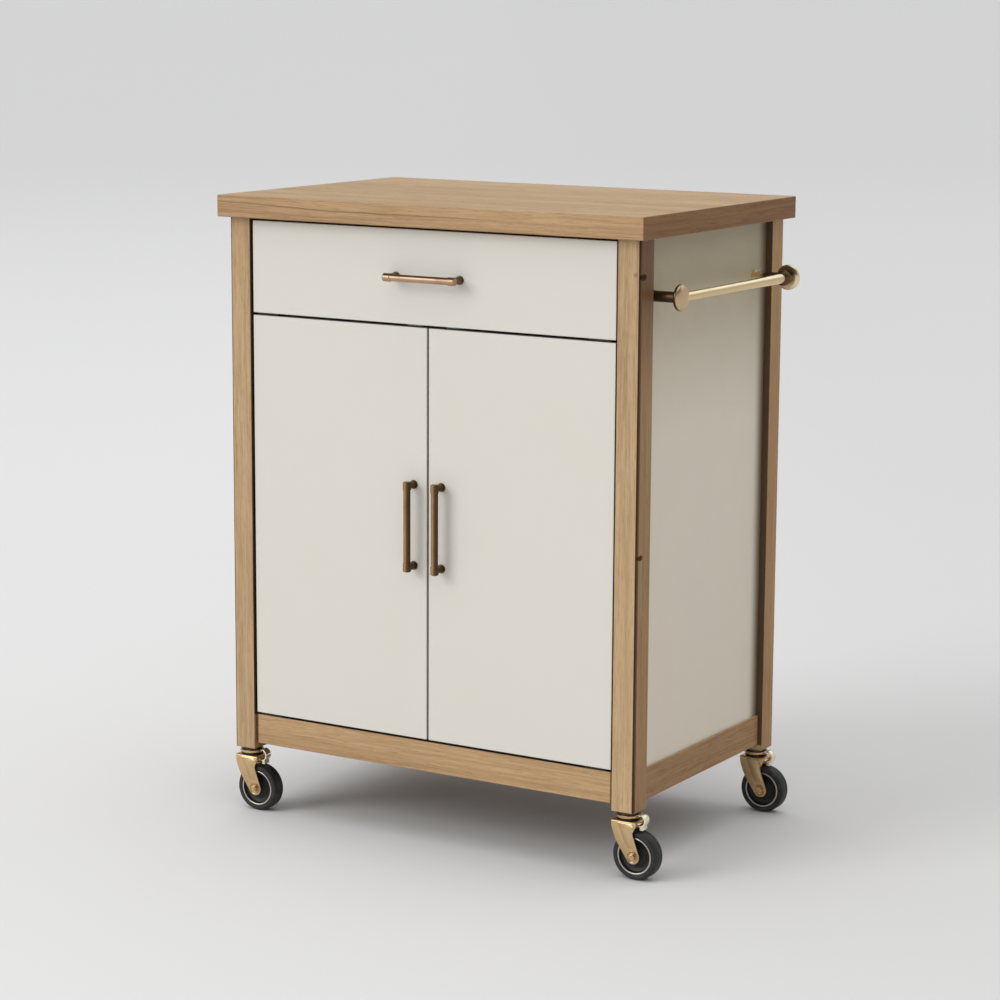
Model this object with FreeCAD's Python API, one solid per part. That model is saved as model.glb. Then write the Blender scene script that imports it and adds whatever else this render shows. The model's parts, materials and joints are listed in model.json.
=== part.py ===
# Kitchen cart: an oak frame on four swivel casters, with an oak worktop, one drawer
# above a two-door cabinet, and a towel bar on the right-hand side.
# Millimetres, +Z up, and the front faces -Y. Shapes are drawn about the centre of the
# body, then moved so that the origin is on the floor at the centre of the footprint.
import FreeCAD, Part
import math
import os

Vector = FreeCAD.Vector
X_AXIS = Vector(1, 0, 0)
Y_AXIS = Vector(0, 1, 0)
Z_AXIS = Vector(0, 0, 1)
same_place = 1e-6

# Worktop
overall_height = 905.0
top_width = 690.0
top_depth = 456.0
top_thickness = 31.0
side_overhang = 11.0
front_overhang = 15.0
top_edge_radius = 1.5

# Posts
post_width = 35.0
post_depth = 36.0
post_quirk = 3.0
eased_edge = 1.0

# Bottom rails, tenoned into the posts
rail_height = 44.0
rail_thickness = 22.0
rail_lift = 9.0
rail_joint_gap = 1.5
front_rail_recess = 4.0
side_rail_recess = 6.0
tenon_thickness = 10.0
tenon_shoulder = 7.0
tenon_wall = 2.4

# Panels and boards
fit_clearance = 0.1
side_panel_thickness = 15.0
side_panel_recess = 10.0
back_panel_thickness = 8.0
back_panel_recess = 8.0
groove_depth = 6.0
floor_thickness = 18.0
divider_thickness = 18.0
divider_setback = 3.0
stretcher_thickness = 16.0
stretcher_width = 60.0
shelf_thickness = 18.0
shelf_height = 435.0
shelf_side_gap = 0.8
shelf_front_gap = 27.0
shelf_rear_gap = 2.0
shelf_pin_radius = 2.5
shelf_pin_length = 16.0
shelf_pin_depth = 8.0
shelf_pin_setback = 35.0

# Doors and drawer front
front_thickness = 18.0
front_recess = 3.0
reveal = 3.0
drawer_front_height = 131.5
drawer_top_gap = 4.0
drawer_door_gap = 3.5

# Door pivots
pivot_inset = 25.0
pivot_pin_radius = 4.0
pivot_pin_length = 13.0
pivot_clearance = 0.05
pivot_play = 0.75
plate_thickness = 2.0
plate_width = 34.0
plate_lap = 26.0
plate_nose = 7.0
bush_radius = 6.5
bush_length = 16.0

# Magnetic catches and their strikes
catch_width = 30.0
catch_height = 13.0
catch_depth = 26.0
catch_offset = 32.0
catch_gap = 0.3
strike_width = 24.0
strike_height = 11.0
strike_thickness = 1.5

# Drawer box
drawer_rear_gap = 27.0
drawer_head_gap = 5.25
drawer_lift = 4.0
drawer_wall = 12.0
drawer_bottom_thickness = 6.0
drawer_bottom_lift = 8.0
drawer_groove = 5.0

# Drawer slides
slide_thickness = 12.7
slide_height = 45.0
slide_lift = 24.0
slide_sheet = 1.2
slide_running_gap = 0.3
slide_lip = 8.5
runner_front_setback = 25.0
runner_rear_setback = 21.0
slide_front_gap = 2.0

# Pulls
drawer_pull_length = 117.0
door_pull_length = 128.0
pull_bar_radius = 5.0
pull_ferrule_radius = 5.8
pull_ferrule_length = 12.0
drawer_pull_standoff = 22.0
door_pull_standoff = 18.0
pull_foot_radius = 5.0
pull_foot_inset = 6.5
pull_base_radius = 6.2
pull_base_thickness = 1.8
pull_edge_radius = 1.2
door_pull_offset = 22.8
door_pull_height = 457.5

# Towel bar
towel_bar_radius = 7.0
towel_bar_reach = 36.0
towel_bar_drop = 78.0
towel_bar_stud_radius = 1.8
towel_bar_stud_length = 8.0
standoff_front_gap = 0.5
standoff_rear_inset = 37.0
standoff_radius = 7.5
standoff_eye_radius = 11.0
rosette_radius = 9.0
rosette_thickness = 3.0
knob_radius = 18.0
knob_thickness = 11.0
knob_dome = 5.0
knob_socket = 6.0
knob_edge_radius = 1.5
cap_rim = 8.5
cap_dome = 3.0
cap_edge_radius = 1.5

# Casters
wheel_radius = 34.0
wheel_clearance = 7.8
tyre_width = 22.0
tyre_thickness = 7.5
tyre_shoulder = 4.0
caster_trail = 15.0
rim_recess = 1.0
rim_wall = 3.0
web_thickness = 8.0
hub_radius = 8.0
hub_proud = 1.6
hub_side_gap = 0.4
axle_radius = 3.0
axle_head_radius = 5.4
axle_head_height = 3.4
axle_washer_radius = 8.0
axle_washer_height = 1.2
running_clearance = 0.06
ear_thickness = 2.5
ear_tip_radius = 10.0
ear_bend_radius = 2.2
ear_shoulder = 6.0
ear_waist_x = 13.0
ear_waist_drop = 12.0
ear_knee_x = -12.0
ear_knee_drop = 24.0
crown_length = 37.0
crown_thickness = 3.0
collar_radius = 15.5
collar_height = 4.5
race_plate_radius = 17.5
race_plate_height = 4.5
race_plate_edge = 1.0
ball_race_outer = 16.0
ball_race_inner = 8.0
ball_race_height = 3.0
swivel_gap = 0.3
stem_radius = 5.0
stem_length = 36.0
king_pin_radius = 5.0
king_pin_head_radius = 8.0
king_pin_head_height = 3.6

# Brake levers
brake_pin_x = 14.0
brake_pin_drop = 4.2
brake_pin_radius = 2.0
brake_hub_radius = 3.6
brake_width = 12.0
brake_sheet = 2.2
brake_curl_radius = 7.8
brake_curl_x = 20.5
brake_lip = 1.0
brake_shoe_start = 20.0
brake_shoe_length = 6.0
brake_shoe_height = 4.1

# Places worked out from the sizes
hub_width = tyre_width + 2 * hub_proud
ear_inner = hub_width / 2 + hub_side_gap
ear_outer = ear_inner + ear_thickness
rim_radius = wheel_radius - tyre_thickness
king_pin_bottom = 2 * wheel_radius + wheel_clearance
crown_bottom = king_pin_bottom + king_pin_head_height + swivel_gap
crown_top = crown_bottom + crown_thickness
ball_race_bottom = crown_top + swivel_gap
race_plate_bottom = ball_race_bottom + ball_race_height
race_plate_top = race_plate_bottom + race_plate_height
post_bottom = race_plate_top + collar_height
brake_pin_z = crown_bottom - brake_pin_drop

half_width = top_width / 2 - side_overhang
half_depth = top_depth / 2 - front_overhang
post_top = overall_height - top_thickness
opening_half = half_width - post_width
post_inner = half_depth - post_depth
post_x = half_width - post_width / 2
post_y = half_depth - post_depth / 2
rail_bottom = post_bottom + rail_lift
rail_top = rail_bottom + rail_height
panel_outer = half_width - side_panel_recess
panel_inner = panel_outer - side_panel_thickness
side_rail_outer = half_width - side_rail_recess
side_rail_inner = side_rail_outer - rail_thickness
front_rail_outer = half_depth - front_rail_recess
front_rail_inner = front_rail_outer - rail_thickness
back_panel_outer = half_depth - back_panel_recess
back_panel_inner = back_panel_outer - back_panel_thickness

front_face = -half_depth + front_recess
front_back = front_face + front_thickness
front_half = opening_half - reveal
door_bottom = rail_top + reveal
drawer_front_top = post_top - drawer_top_gap
drawer_front_bottom = drawer_front_top - drawer_front_height
door_top = drawer_front_bottom - drawer_door_gap
divider_bottom = door_top + pivot_play + plate_thickness
divider_top = divider_bottom + divider_thickness
divider_front = front_back + divider_setback
pivot_x = front_half - pivot_inset
pivot_y = front_face + front_thickness / 2

drawer_bottom_edge = divider_top + drawer_lift
drawer_top_edge = post_top - stretcher_thickness - drawer_head_gap
drawer_outer = opening_half - slide_thickness
drawer_inner = drawer_outer - drawer_wall
drawer_end = back_panel_inner - drawer_rear_gap
drawer_panel_z = drawer_bottom_edge + drawer_bottom_lift
slide_bottom = drawer_bottom_edge + slide_lift
slide_top = slide_bottom + slide_height

towel_bar_x = half_width + towel_bar_reach
towel_bar_height = post_top - towel_bar_drop
standoff_front_y = -post_inner + rosette_radius + standoff_front_gap
standoff_rear_y = post_inner - standoff_rear_inset
cap_back_x = towel_bar_x - cap_rim / 2

tenon_length_x = post_width / 2 - stem_radius - fit_clearance - tenon_wall
tenon_length_y = post_depth / 2 - stem_radius - fit_clearance - tenon_wall

right_reach = towel_bar_x + knob_radius
front_reach = -front_face + drawer_pull_standoff + pull_ferrule_radius
origin = Vector((right_reach - top_width / 2) / 2, (top_depth / 2 - front_reach) / 2, 0)

SIDES = {"left": -1, "right": 1}
ENDS = {"front": -1, "rear": 1}


# Shared shapes

def block(xs, ys, zs):
    """Box between two values on each axis, given in either order."""
    low = Vector(min(xs), min(ys), min(zs))
    return Part.makeBox(
        abs(xs[1] - xs[0]), abs(ys[1] - ys[0]), abs(zs[1] - zs[0]), low
    )


def eased_block(xs, ys, zs, radius=eased_edge):
    """Box with all its edges rounded."""
    shape = block(xs, ys, zs)
    return shape.makeFillet(radius, shape.Edges)


def rod(radius, start, direction, length):
    """Cylinder from a point along a direction."""
    return Part.makeCylinder(radius, length, start, direction)


def turned(profile, centre, axis, radial):
    """Solid of revolution from (radius, distance along the axis) points."""
    points = [centre + radial * radius + axis * along for radius, along in profile]
    outline = Part.Face(Part.makePolygon(points + points[:1]))
    return outline.revolve(centre, axis, 360)


def hexagon(radius, start, direction, height):
    """Hexagonal prism along Y, with its corners at the radius."""
    corners = []
    for step in range(7):
        angle = math.radians(60 * step)
        corners.append(start + Vector(radius * math.cos(angle), 0, radius * math.sin(angle)))
    return Part.Face(Part.makePolygon(corners)).extrude(direction * height)


def grown(shape, margin):
    """Bounding box of a shape, larger by a margin on every side."""
    box = shape.BoundBox
    return block(
        (box.XMin - margin, box.XMax + margin),
        (box.YMin - margin, box.YMax + margin),
        (box.ZMin - margin, box.ZMax + margin),
    )


def round_edges(shape, radius, axis, values):
    """The shape with its round edges at given places along an axis filleted."""
    edges = []
    for edge in shape.Edges:
        is_round = isinstance(edge.Curve, Part.Circle)
        if is_round and any(abs(edge.Curve.Center.dot(axis) - v) < same_place for v in values):
            edges.append(edge)
    return shape.makeFillet(radius, edges)


# Frame

def worktop():
    return eased_block(
        (-top_width / 2, top_width / 2),
        (-top_depth / 2, top_depth / 2),
        (post_top, overall_height),
        top_edge_radius,
    )


def side_panel(side):
    reach = post_inner + groove_depth
    return block(
        (side * panel_outer, side * panel_inner), (-reach, reach), (rail_top, post_top)
    )


def back_panel():
    reach = opening_half + groove_depth
    return block(
        (-reach, reach), (back_panel_inner, back_panel_outer), (rail_top, post_top)
    )


def tenon_heights():
    return (rail_bottom + tenon_shoulder, rail_top - tenon_shoulder)


def end_rail_tenon(end):
    """The tenon of the front or rear rail, through its whole length."""
    reach = opening_half + tenon_length_x
    middle = end * (front_rail_outer + front_rail_inner) / 2
    ys = (middle - tenon_thickness / 2, middle + tenon_thickness / 2)
    return block((-reach, reach), ys, tenon_heights())


def side_rail_tenon(side):
    """The tenon of a side rail, through its whole length."""
    reach = post_inner + tenon_length_y
    middle = side * (side_rail_outer + side_rail_inner) / 2
    xs = (middle - tenon_thickness / 2, middle + tenon_thickness / 2)
    return block(xs, (-reach, reach), tenon_heights())


def end_rail(end):
    reach = opening_half - rail_joint_gap
    body = eased_block(
        (-reach, reach),
        (end * front_rail_outer, end * front_rail_inner),
        (rail_bottom, rail_top),
    )
    return body.fuse(end_rail_tenon(end)).removeSplitter()


def side_rail(side):
    reach = post_inner - rail_joint_gap
    body = eased_block(
        (side * side_rail_outer, side * side_rail_inner),
        (-reach, reach),
        (rail_bottom, rail_top),
    )
    return body.fuse(side_rail_tenon(side)).removeSplitter()


def stem_bore(side, end):
    start = Vector(side * post_x, end * post_y, post_bottom)
    return rod(stem_radius + fit_clearance, start, Z_AXIS, stem_length + fit_clearance)


def post(side, end):
    """Corner post with its quirk, panel grooves, mortises and caster bore."""
    corner = (side * half_width, end * half_depth)
    shape = eased_block(
        (side * opening_half, corner[0]), (end * post_inner, corner[1]), (post_bottom, post_top)
    )
    quirk = block(
        (corner[0] - post_quirk, corner[0] + post_quirk),
        (corner[1] - post_quirk, corner[1] + post_quirk),
        (post_bottom, post_top),
    )
    cuts = [
        quirk,
        grown(side_panel(side), fit_clearance),
        grown(side_rail_tenon(side), fit_clearance),
        grown(end_rail_tenon(end), fit_clearance),
        stem_bore(side, end),
    ]
    if end > 0:
        cuts.append(grown(back_panel(), fit_clearance))
    return shape.cut(cuts)


def around_posts(shape):
    """A board notched round the four posts."""
    notches = []
    for side in SIDES.values():
        for end in ENDS.values():
            notches.append(block(
                (side * (opening_half - fit_clearance), side * half_width),
                (end * (post_inner - fit_clearance), end * half_depth),
                (0, overall_height),
            ))
    return shape.cut(notches)


def cabinet_floor():
    return around_posts(block(
        (-side_rail_inner, side_rail_inner),
        (-front_rail_inner, front_rail_inner),
        (rail_top - floor_thickness, rail_top),
    ))


def divider_panel():
    return around_posts(block(
        (-panel_inner, panel_inner),
        (divider_front, back_panel_inner),
        (divider_bottom, divider_top),
    ))


def stretchers():
    """Front and rear boards under the worktop, between the posts and side panels."""
    boards = []
    for end in ENDS.values():
        boards.append(block(
            (-panel_inner, panel_inner),
            (end * post_inner, end * (post_inner - stretcher_width)),
            (post_top - stretcher_thickness, post_top),
        ))
    return Part.makeCompound(boards)


def shelf_span():
    return (shelf_front_gap - post_inner, post_inner - shelf_rear_gap)


def shelf():
    reach = panel_inner - shelf_side_gap
    return eased_block(
        (-reach, reach), shelf_span(), (shelf_height, shelf_height + shelf_thickness)
    )


def shelf_pin(side, y, radius=shelf_pin_radius):
    start = Vector(side * (panel_inner + shelf_pin_depth), y, shelf_height - shelf_pin_radius)
    return rod(radius, start, X_AXIS * -side, shelf_pin_length)


def shelf_pin_places():
    front, rear = shelf_span()
    return (front + shelf_pin_setback, rear - shelf_pin_setback)


def shelf_pins(side):
    return [shelf_pin(side, y) for y in shelf_pin_places()]


def drilled_side_panel(side):
    holes = [shelf_pin(side, y, shelf_pin_radius + fit_clearance) for y in shelf_pin_places()]
    return side_panel(side).cut(holes)


# Doors

def pivot_plates():
    """Plates with a pin each: under the divider and on the front rail."""
    plates = []
    for side in SIDES.values():
        centre = side * pivot_x
        xs = (centre - plate_width / 2, centre + plate_width / 2)
        upper = block(
            xs,
            (pivot_y - plate_nose, divider_front + plate_lap),
            (divider_bottom - plate_thickness, divider_bottom),
        )
        upper_pin = rod(
            pivot_pin_radius,
            Vector(centre, pivot_y, divider_bottom - plate_thickness),
            Z_AXIS * -1,
            pivot_pin_length + pivot_play,
        )
        lower = block(
            xs,
            (pivot_y - plate_nose, -front_rail_inner),
            (rail_top, rail_top + plate_thickness),
        )
        lower_pin = rod(
            pivot_pin_radius,
            Vector(centre, pivot_y, rail_top + plate_thickness),
            Z_AXIS,
            pivot_pin_length + reveal - plate_thickness,
        )
        plates.append(upper.fuse(upper_pin).removeSplitter())
        plates.append(lower.fuse(lower_pin).removeSplitter())
    return Part.makeCompound(plates)


def pivot_bush_blanks(side):
    """The two bushes of a door before they are bored."""
    low = Vector(side * pivot_x, pivot_y, door_bottom)
    high = Vector(side * pivot_x, pivot_y, door_top)
    return (
        rod(bush_radius, low, Z_AXIS, bush_length),
        rod(bush_radius, high, Z_AXIS * -1, bush_length),
    )


def pivot_bushes(side):
    bore_radius = pivot_pin_radius + pivot_clearance
    bore = rod(bore_radius, Vector(side * pivot_x, pivot_y, 0), Z_AXIS, overall_height)
    bushes = []
    for blank in pivot_bush_blanks(side):
        bushes.append(blank.cut(bore))
    return Part.makeCompound(bushes)


def door(side):
    panel = eased_block(
        (side * reveal / 2, side * front_half), (front_face, front_back), (door_bottom, door_top)
    )
    return panel.cut(list(pivot_bush_blanks(side)))


def strike(side):
    middle = side * catch_offset
    top = divider_bottom - (catch_height - strike_height) / 2
    return block(
        (middle - strike_width / 2, middle + strike_width / 2),
        (front_back, front_back + strike_thickness),
        (top - strike_height, top),
    )


def catches():
    face = front_back + strike_thickness + catch_gap
    blocks = []
    for side in SIDES.values():
        middle = side * catch_offset
        blocks.append(eased_block(
            (middle - catch_width / 2, middle + catch_width / 2),
            (face, face + catch_depth),
            (divider_bottom - catch_height, divider_bottom),
        ))
    return Part.makeCompound(blocks)


def pull(middle, direction, length, standoff):
    """Round bar with ferrules on two feet, along a direction, on a front's face."""
    axis_point = Vector(middle.x, front_face - standoff, middle.z)
    half = length / 2
    bar = rod(pull_bar_radius, axis_point - direction * half, direction, length)
    places = [axis_point.dot(direction) - half, axis_point.dot(direction) + half]
    bar = round_edges(bar, pull_edge_radius, direction, places)
    pieces = []
    for end in ENDS.values():
        foot = axis_point + direction * (end * (half - pull_foot_inset))
        ferrule_start = foot - direction * (pull_ferrule_length / 2)
        ferrule = rod(pull_ferrule_radius, ferrule_start, direction, pull_ferrule_length)
        ferrule = ferrule.makeFillet(pull_edge_radius, ferrule.Edges)
        pieces.append(ferrule)
        pieces.append(rod(pull_foot_radius, foot, Y_AXIS, standoff))
        base = foot + Y_AXIS * (standoff - pull_base_thickness)
        pieces.append(rod(pull_base_radius, base, Y_AXIS, pull_base_thickness))
    return bar.fuse(pieces).removeSplitter()


# Drawer

def drawer_bottom():
    reach = drawer_inner + drawer_groove
    return block(
        (-reach, reach),
        (front_back - drawer_groove, drawer_end - drawer_wall + drawer_groove),
        (drawer_panel_z, drawer_panel_z + drawer_bottom_thickness),
    )


def grooved(shape):
    return shape.cut(grown(drawer_bottom(), fit_clearance))


def drawer_front():
    return grooved(eased_block(
        (-front_half, front_half), (front_face, front_back), (drawer_front_bottom, drawer_front_top)
    ))


def drawer_side(side):
    return grooved(block(
        (side * drawer_outer, side * drawer_inner),
        (front_back, drawer_end),
        (drawer_bottom_edge, drawer_top_edge),
    ))


def drawer_back():
    return grooved(block(
        (-drawer_inner, drawer_inner),
        (drawer_end - drawer_wall, drawer_end),
        (drawer_bottom_edge, drawer_top_edge),
    ))


def channel(side, back, lip, ys, zs):
    """Sheet channel whose web is at back and whose lips reach to lip, along Y."""
    inward = 1 if lip > back else -1
    outer = block((side * back, side * lip), ys, zs)
    hollow = block(
        (side * (back + inward * slide_sheet), side * (lip + inward * slide_sheet)),
        (ys[0] - slide_sheet, ys[1] + slide_sheet),
        (zs[0] + slide_sheet, zs[1] - slide_sheet),
    )
    return outer.cut(hollow)


def runner(side):
    ys = (-half_depth + runner_front_setback, half_depth - runner_rear_setback)
    return channel(side, opening_half, opening_half - slide_lip, ys, (slide_bottom, slide_top))


def slide(side):
    inset = slide_sheet + slide_running_gap
    zs = (slide_bottom + inset, slide_top - inset)
    ys = (front_back + slide_front_gap, drawer_end)
    return channel(side, drawer_outer, drawer_outer + slide_lip, ys, zs)


# Towel bar

def towel_axis(y):
    return Vector(towel_bar_x, y, towel_bar_height)


def towel_bar():
    """Bar whose front end is hollowed to fit the front cap's rim, with a stud that goes into it."""
    middle = towel_axis(standoff_front_y)
    end = standoff_rear_y + standoff_eye_radius + knob_socket
    bar = rod(towel_bar_radius, middle, Y_AXIS, end - standoff_front_y)
    rim = rod(knob_radius, middle - X_AXIS * (2 * towel_bar_radius), X_AXIS, 4 * towel_bar_radius)
    stud_end = middle + Y_AXIS * (knob_radius - towel_bar_stud_length)
    stud = rod(towel_bar_stud_radius, stud_end, Y_AXIS, towel_bar_stud_length + towel_bar_radius)
    return bar.cut(rim).fuse(stud).removeSplitter()


def standoff_arm(y, end_x):
    """Arm on a rosette, from the side panel out to an end."""
    base = Vector(panel_outer, y, towel_bar_height)
    arm = rod(standoff_radius, base, X_AXIS, end_x - panel_outer)
    return arm.fuse(rod(rosette_radius, base, X_AXIS, rosette_thickness)).removeSplitter()


def rear_standoff():
    """Arm with an eye that the bar goes through."""
    eye = Part.makeSphere(standoff_eye_radius, towel_axis(standoff_rear_y))
    through = rod(
        towel_bar_radius + fit_clearance,
        towel_axis(standoff_rear_y - 2 * standoff_eye_radius),
        Y_AXIS,
        4 * standoff_eye_radius,
    )
    arm = standoff_arm(standoff_rear_y, towel_bar_x)
    return arm.fuse(eye).removeSplitter().cut(through)


def domed_disc(back, outward, thickness, dome, edge_radius):
    """Disc with a rounded rim whose outer face is a low dome."""
    ball_radius = (knob_radius ** 2 + dome ** 2) / (2 * dome)
    ball_centre = back + outward * (thickness - ball_radius)
    half_angle = math.asin(knob_radius / ball_radius) / 2
    rim_back = back + Z_AXIS * knob_radius
    rim_front = rim_back + outward * (thickness - dome)
    halfway = Z_AXIS * math.sin(half_angle) + outward * math.cos(half_angle)
    tip = back + outward * thickness
    outline = Part.Wire([
        Part.makeLine(back, rim_back),
        Part.makeLine(rim_back, rim_front),
        Part.Arc(rim_front, ball_centre + halfway * ball_radius, tip).toShape(),
        Part.makeLine(tip, back),
    ])
    blank = Part.Face(outline).revolve(back, outward, 360)
    rims = [edge for edge in blank.Edges if edge.Length > knob_radius * math.pi]
    return blank.makeFillet(edge_radius, rims)


def front_cap():
    """Domed disc on the end of the front stand-off, with a hole in its rim for the bar's stud."""
    back = Vector(cap_back_x, standoff_front_y, towel_bar_height)
    disc = domed_disc(back, X_AXIS, cap_rim + cap_dome, cap_dome, cap_edge_radius)
    hole = rod(
        towel_bar_stud_radius + fit_clearance,
        towel_axis(standoff_front_y + 2 * knob_radius),
        -Y_AXIS,
        knob_radius + towel_bar_stud_length + fit_clearance,
    )
    return disc.cut(hole)


def rear_knob():
    """Domed disc on the bar's rear end, with a socket for the bar."""
    back = towel_axis(standoff_rear_y + standoff_eye_radius)
    disc = domed_disc(back, Y_AXIS, knob_thickness, knob_dome, knob_edge_radius)
    return disc.cut(rod(towel_bar_radius + fit_clearance, back, Y_AXIS, knob_socket))


# Casters, drawn about the king pin's axis and moved under a post

def caster_stem():
    """Stem with its collar, race plate and riveted king pin."""
    floor_axis = Vector(0, 0, 0)
    plate = turned(
        [
            (0, race_plate_bottom),
            (race_plate_radius - race_plate_edge, race_plate_bottom),
            (race_plate_radius, race_plate_bottom + race_plate_edge),
            (race_plate_radius, race_plate_top),
            (0, race_plate_top),
        ],
        floor_axis, Z_AXIS, X_AXIS,
    )
    head_start = Vector(0, 0, king_pin_bottom)
    return plate.fuse([
        rod(collar_radius, Vector(0, 0, post_bottom), Z_AXIS * -1, collar_height),
        rod(stem_radius, Vector(0, 0, post_bottom), Z_AXIS, stem_length),
        rod(king_pin_radius, head_start, Z_AXIS, race_plate_bottom - king_pin_bottom),
        rod(king_pin_head_radius, head_start, Z_AXIS, king_pin_head_height),
    ]).removeSplitter()


def ball_race():
    start = Vector(0, 0, ball_race_bottom)
    ring = rod(ball_race_outer, start, Z_AXIS, ball_race_height)
    return ring.cut(rod(ball_race_inner, start, Z_AXIS, ball_race_height))


def tangent_point(point, centre, radius, turn):
    """Where a line from a point (x, z) touches a circle, on the side that turn picks."""
    away = math.atan2(point[1] - centre[1], point[0] - centre[0])
    spread = math.acos(radius / math.dist(point, centre))
    angle = away + turn * spread
    return (centre[0] + radius * math.cos(angle), centre[1] + radius * math.sin(angle))


def fork_ear(end):
    """One cheek of the fork, from the crown down to the axle."""
    axle = (caster_trail, wheel_radius)
    half = crown_length / 2
    shoulder_z = crown_bottom - ear_shoulder
    knee = (ear_knee_x, crown_bottom - ear_knee_drop)
    waist = (ear_waist_x, crown_bottom - ear_waist_drop)
    outline = [
        (-half, crown_top),
        (-half, shoulder_z),
        knee,
        tangent_point(knee, axle, ear_tip_radius, 1),
        tangent_point(waist, axle, ear_tip_radius, -1),
        waist,
        (half, shoulder_z),
        (half, crown_top),
    ]
    y = end * ear_inner
    points = [Vector(x, y, z) for x, z in outline]
    outward = Y_AXIS * (end * ear_thickness)
    plate = Part.Face(Part.makePolygon(points + points[:1])).extrude(outward)
    tip = rod(ear_tip_radius, Vector(axle[0], y, axle[1]), Y_AXIS * end, ear_thickness)
    return plate.fuse(tip).removeSplitter()


def caster_fork():
    """Crown, two cheeks and the brake lever's pin."""
    half = crown_length / 2
    crown = block((-half, half), (-ear_outer, ear_outer), (crown_bottom, crown_top))
    pin = rod(
        brake_pin_radius, Vector(brake_pin_x, -ear_outer, brake_pin_z), Y_AXIS, 2 * ear_outer
    )
    shape = crown.fuse([fork_ear(-1), fork_ear(1), pin]).removeSplitter()
    bends = []
    for edge in shape.Edges:
        middle = edge.CenterOfMass
        at_side = abs(abs(middle.y) - ear_outer) < same_place
        if at_side and abs(middle.z - crown_top) < same_place:
            bends.append(edge)
    shape = shape.makeFillet(ear_bend_radius, bends)
    king_bore = rod(king_pin_radius + running_clearance, Vector(0, 0, 0), Z_AXIS, post_bottom)
    axle_bore = rod(axle_radius, wheel_centre() - Y_AXIS * ear_outer, Y_AXIS, 2 * ear_outer)
    return shape.cut([king_bore, axle_bore])


def wheel_centre():
    return Vector(caster_trail, 0, wheel_radius)


def caster_axle():
    """Axle bolt with a washer and a hexagon on each end."""
    shank = rod(axle_radius, wheel_centre() - Y_AXIS * ear_outer, Y_AXIS, 2 * ear_outer)
    pieces = []
    for end in ENDS.values():
        outward = Y_AXIS * end
        face = wheel_centre() + outward * ear_outer
        pieces.append(rod(axle_washer_radius, face, outward, axle_washer_height))
        head = face + outward * axle_washer_height
        pieces.append(hexagon(axle_head_radius, head, outward, axle_head_height))
    return shank.fuse(pieces).removeSplitter()


def caster_core():
    """Wheel core: hub, web and rim in one turned piece."""
    bore = axle_radius + running_clearance
    rim_inner = rim_radius - rim_wall
    rim_half = tyre_width / 2 - rim_recess
    half_profile = [
        (bore, hub_width / 2),
        (hub_radius, hub_width / 2),
        (hub_radius, web_thickness / 2),
        (rim_inner, web_thickness / 2),
        (rim_inner, rim_half),
        (rim_radius, rim_half),
    ]
    mirrored = [(radius, -along) for radius, along in reversed(half_profile)]
    return turned(half_profile + mirrored, wheel_centre(), Y_AXIS, X_AXIS)


def caster_tyre():
    half = tyre_width / 2
    profile = [(rim_radius, half), (wheel_radius, half), (wheel_radius, -half), (rim_radius, -half)]
    ring = turned(profile, wheel_centre(), Y_AXIS, X_AXIS)
    shoulders = [edge for edge in ring.Edges if getattr(edge.Curve, "Radius", 0) > rim_radius + same_place]
    return ring.makeFillet(min(tyre_shoulder, tyre_thickness / 2 + rim_recess), shoulders)


def caster_brake():
    """Bent sheet lever: a hub on the pin, a curled tab to step on, and a shoe."""
    half = brake_width / 2
    ys = (-half, half)
    hub_start = Vector(brake_pin_x, -half, brake_pin_z)
    curl_z = brake_pin_z + brake_curl_radius
    curl_start = Vector(brake_curl_x, -half, curl_z)
    outer = brake_curl_radius + brake_sheet / 2
    inner = brake_curl_radius - brake_sheet / 2
    curl = rod(outer, curl_start, Y_AXIS, brake_width).cut(rod(inner, curl_start, Y_AXIS, brake_width))
    behind = block((brake_curl_x - 2 * outer, brake_curl_x), ys, (curl_z - 2 * outer, curl_z + 2 * outer))
    curl = curl.cut(behind)
    lower_leg = block((brake_pin_x, brake_curl_x), ys, (curl_z - outer, curl_z - inner))
    upper_leg = block((brake_curl_x - brake_lip, brake_curl_x), ys, (curl_z + inner, curl_z + outer))
    shoe_top = curl_z - inner
    shoe_bottom = curl_z - outer - brake_shoe_height
    shoe = block((brake_shoe_start, brake_shoe_start + brake_shoe_length), ys, (shoe_bottom, shoe_top))
    shoe = shoe.cut(rod(inner, curl_start, Y_AXIS, brake_width))
    hub = rod(brake_hub_radius, hub_start, Y_AXIS, brake_width)
    lever = hub.fuse([lower_leg, curl, upper_leg, shoe]).removeSplitter()
    return lever.cut(rod(brake_pin_radius + running_clearance, hub_start, Y_AXIS, brake_width))


def at_post(shape, side, end):
    """A copy of a caster piece under one of the posts."""
    copy = shape.copy()
    copy.translate(Vector(side * post_x, end * post_y, 0))
    return copy


# All the pieces by name

def frame_pieces():
    pieces = {
        "worktop": worktop(),
        "top_stretchers": stretchers(),
        "back_panel": back_panel(),
        "cabinet_floor": cabinet_floor(),
        "divider_panel": divider_panel(),
        "shelf": shelf(),
        "shelf_pins": Part.makeCompound(shelf_pins(-1) + shelf_pins(1)),
        "drawer_runners": Part.makeCompound([runner(-1), runner(1)]),
        "door_pivot_plates": pivot_plates(),
        "door_catches": catches(),
    }
    for end_name, end in ENDS.items():
        pieces[f"rail_bottom_{end_name}"] = end_rail(end)
        for side_name, side in SIDES.items():
            pieces[f"post_{end_name}_{side_name}"] = post(side, end)
    for side_name, side in SIDES.items():
        pieces[f"rail_bottom_{side_name}"] = side_rail(side)
        pieces[f"side_panel_{side_name}"] = drilled_side_panel(side)
    return pieces


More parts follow.
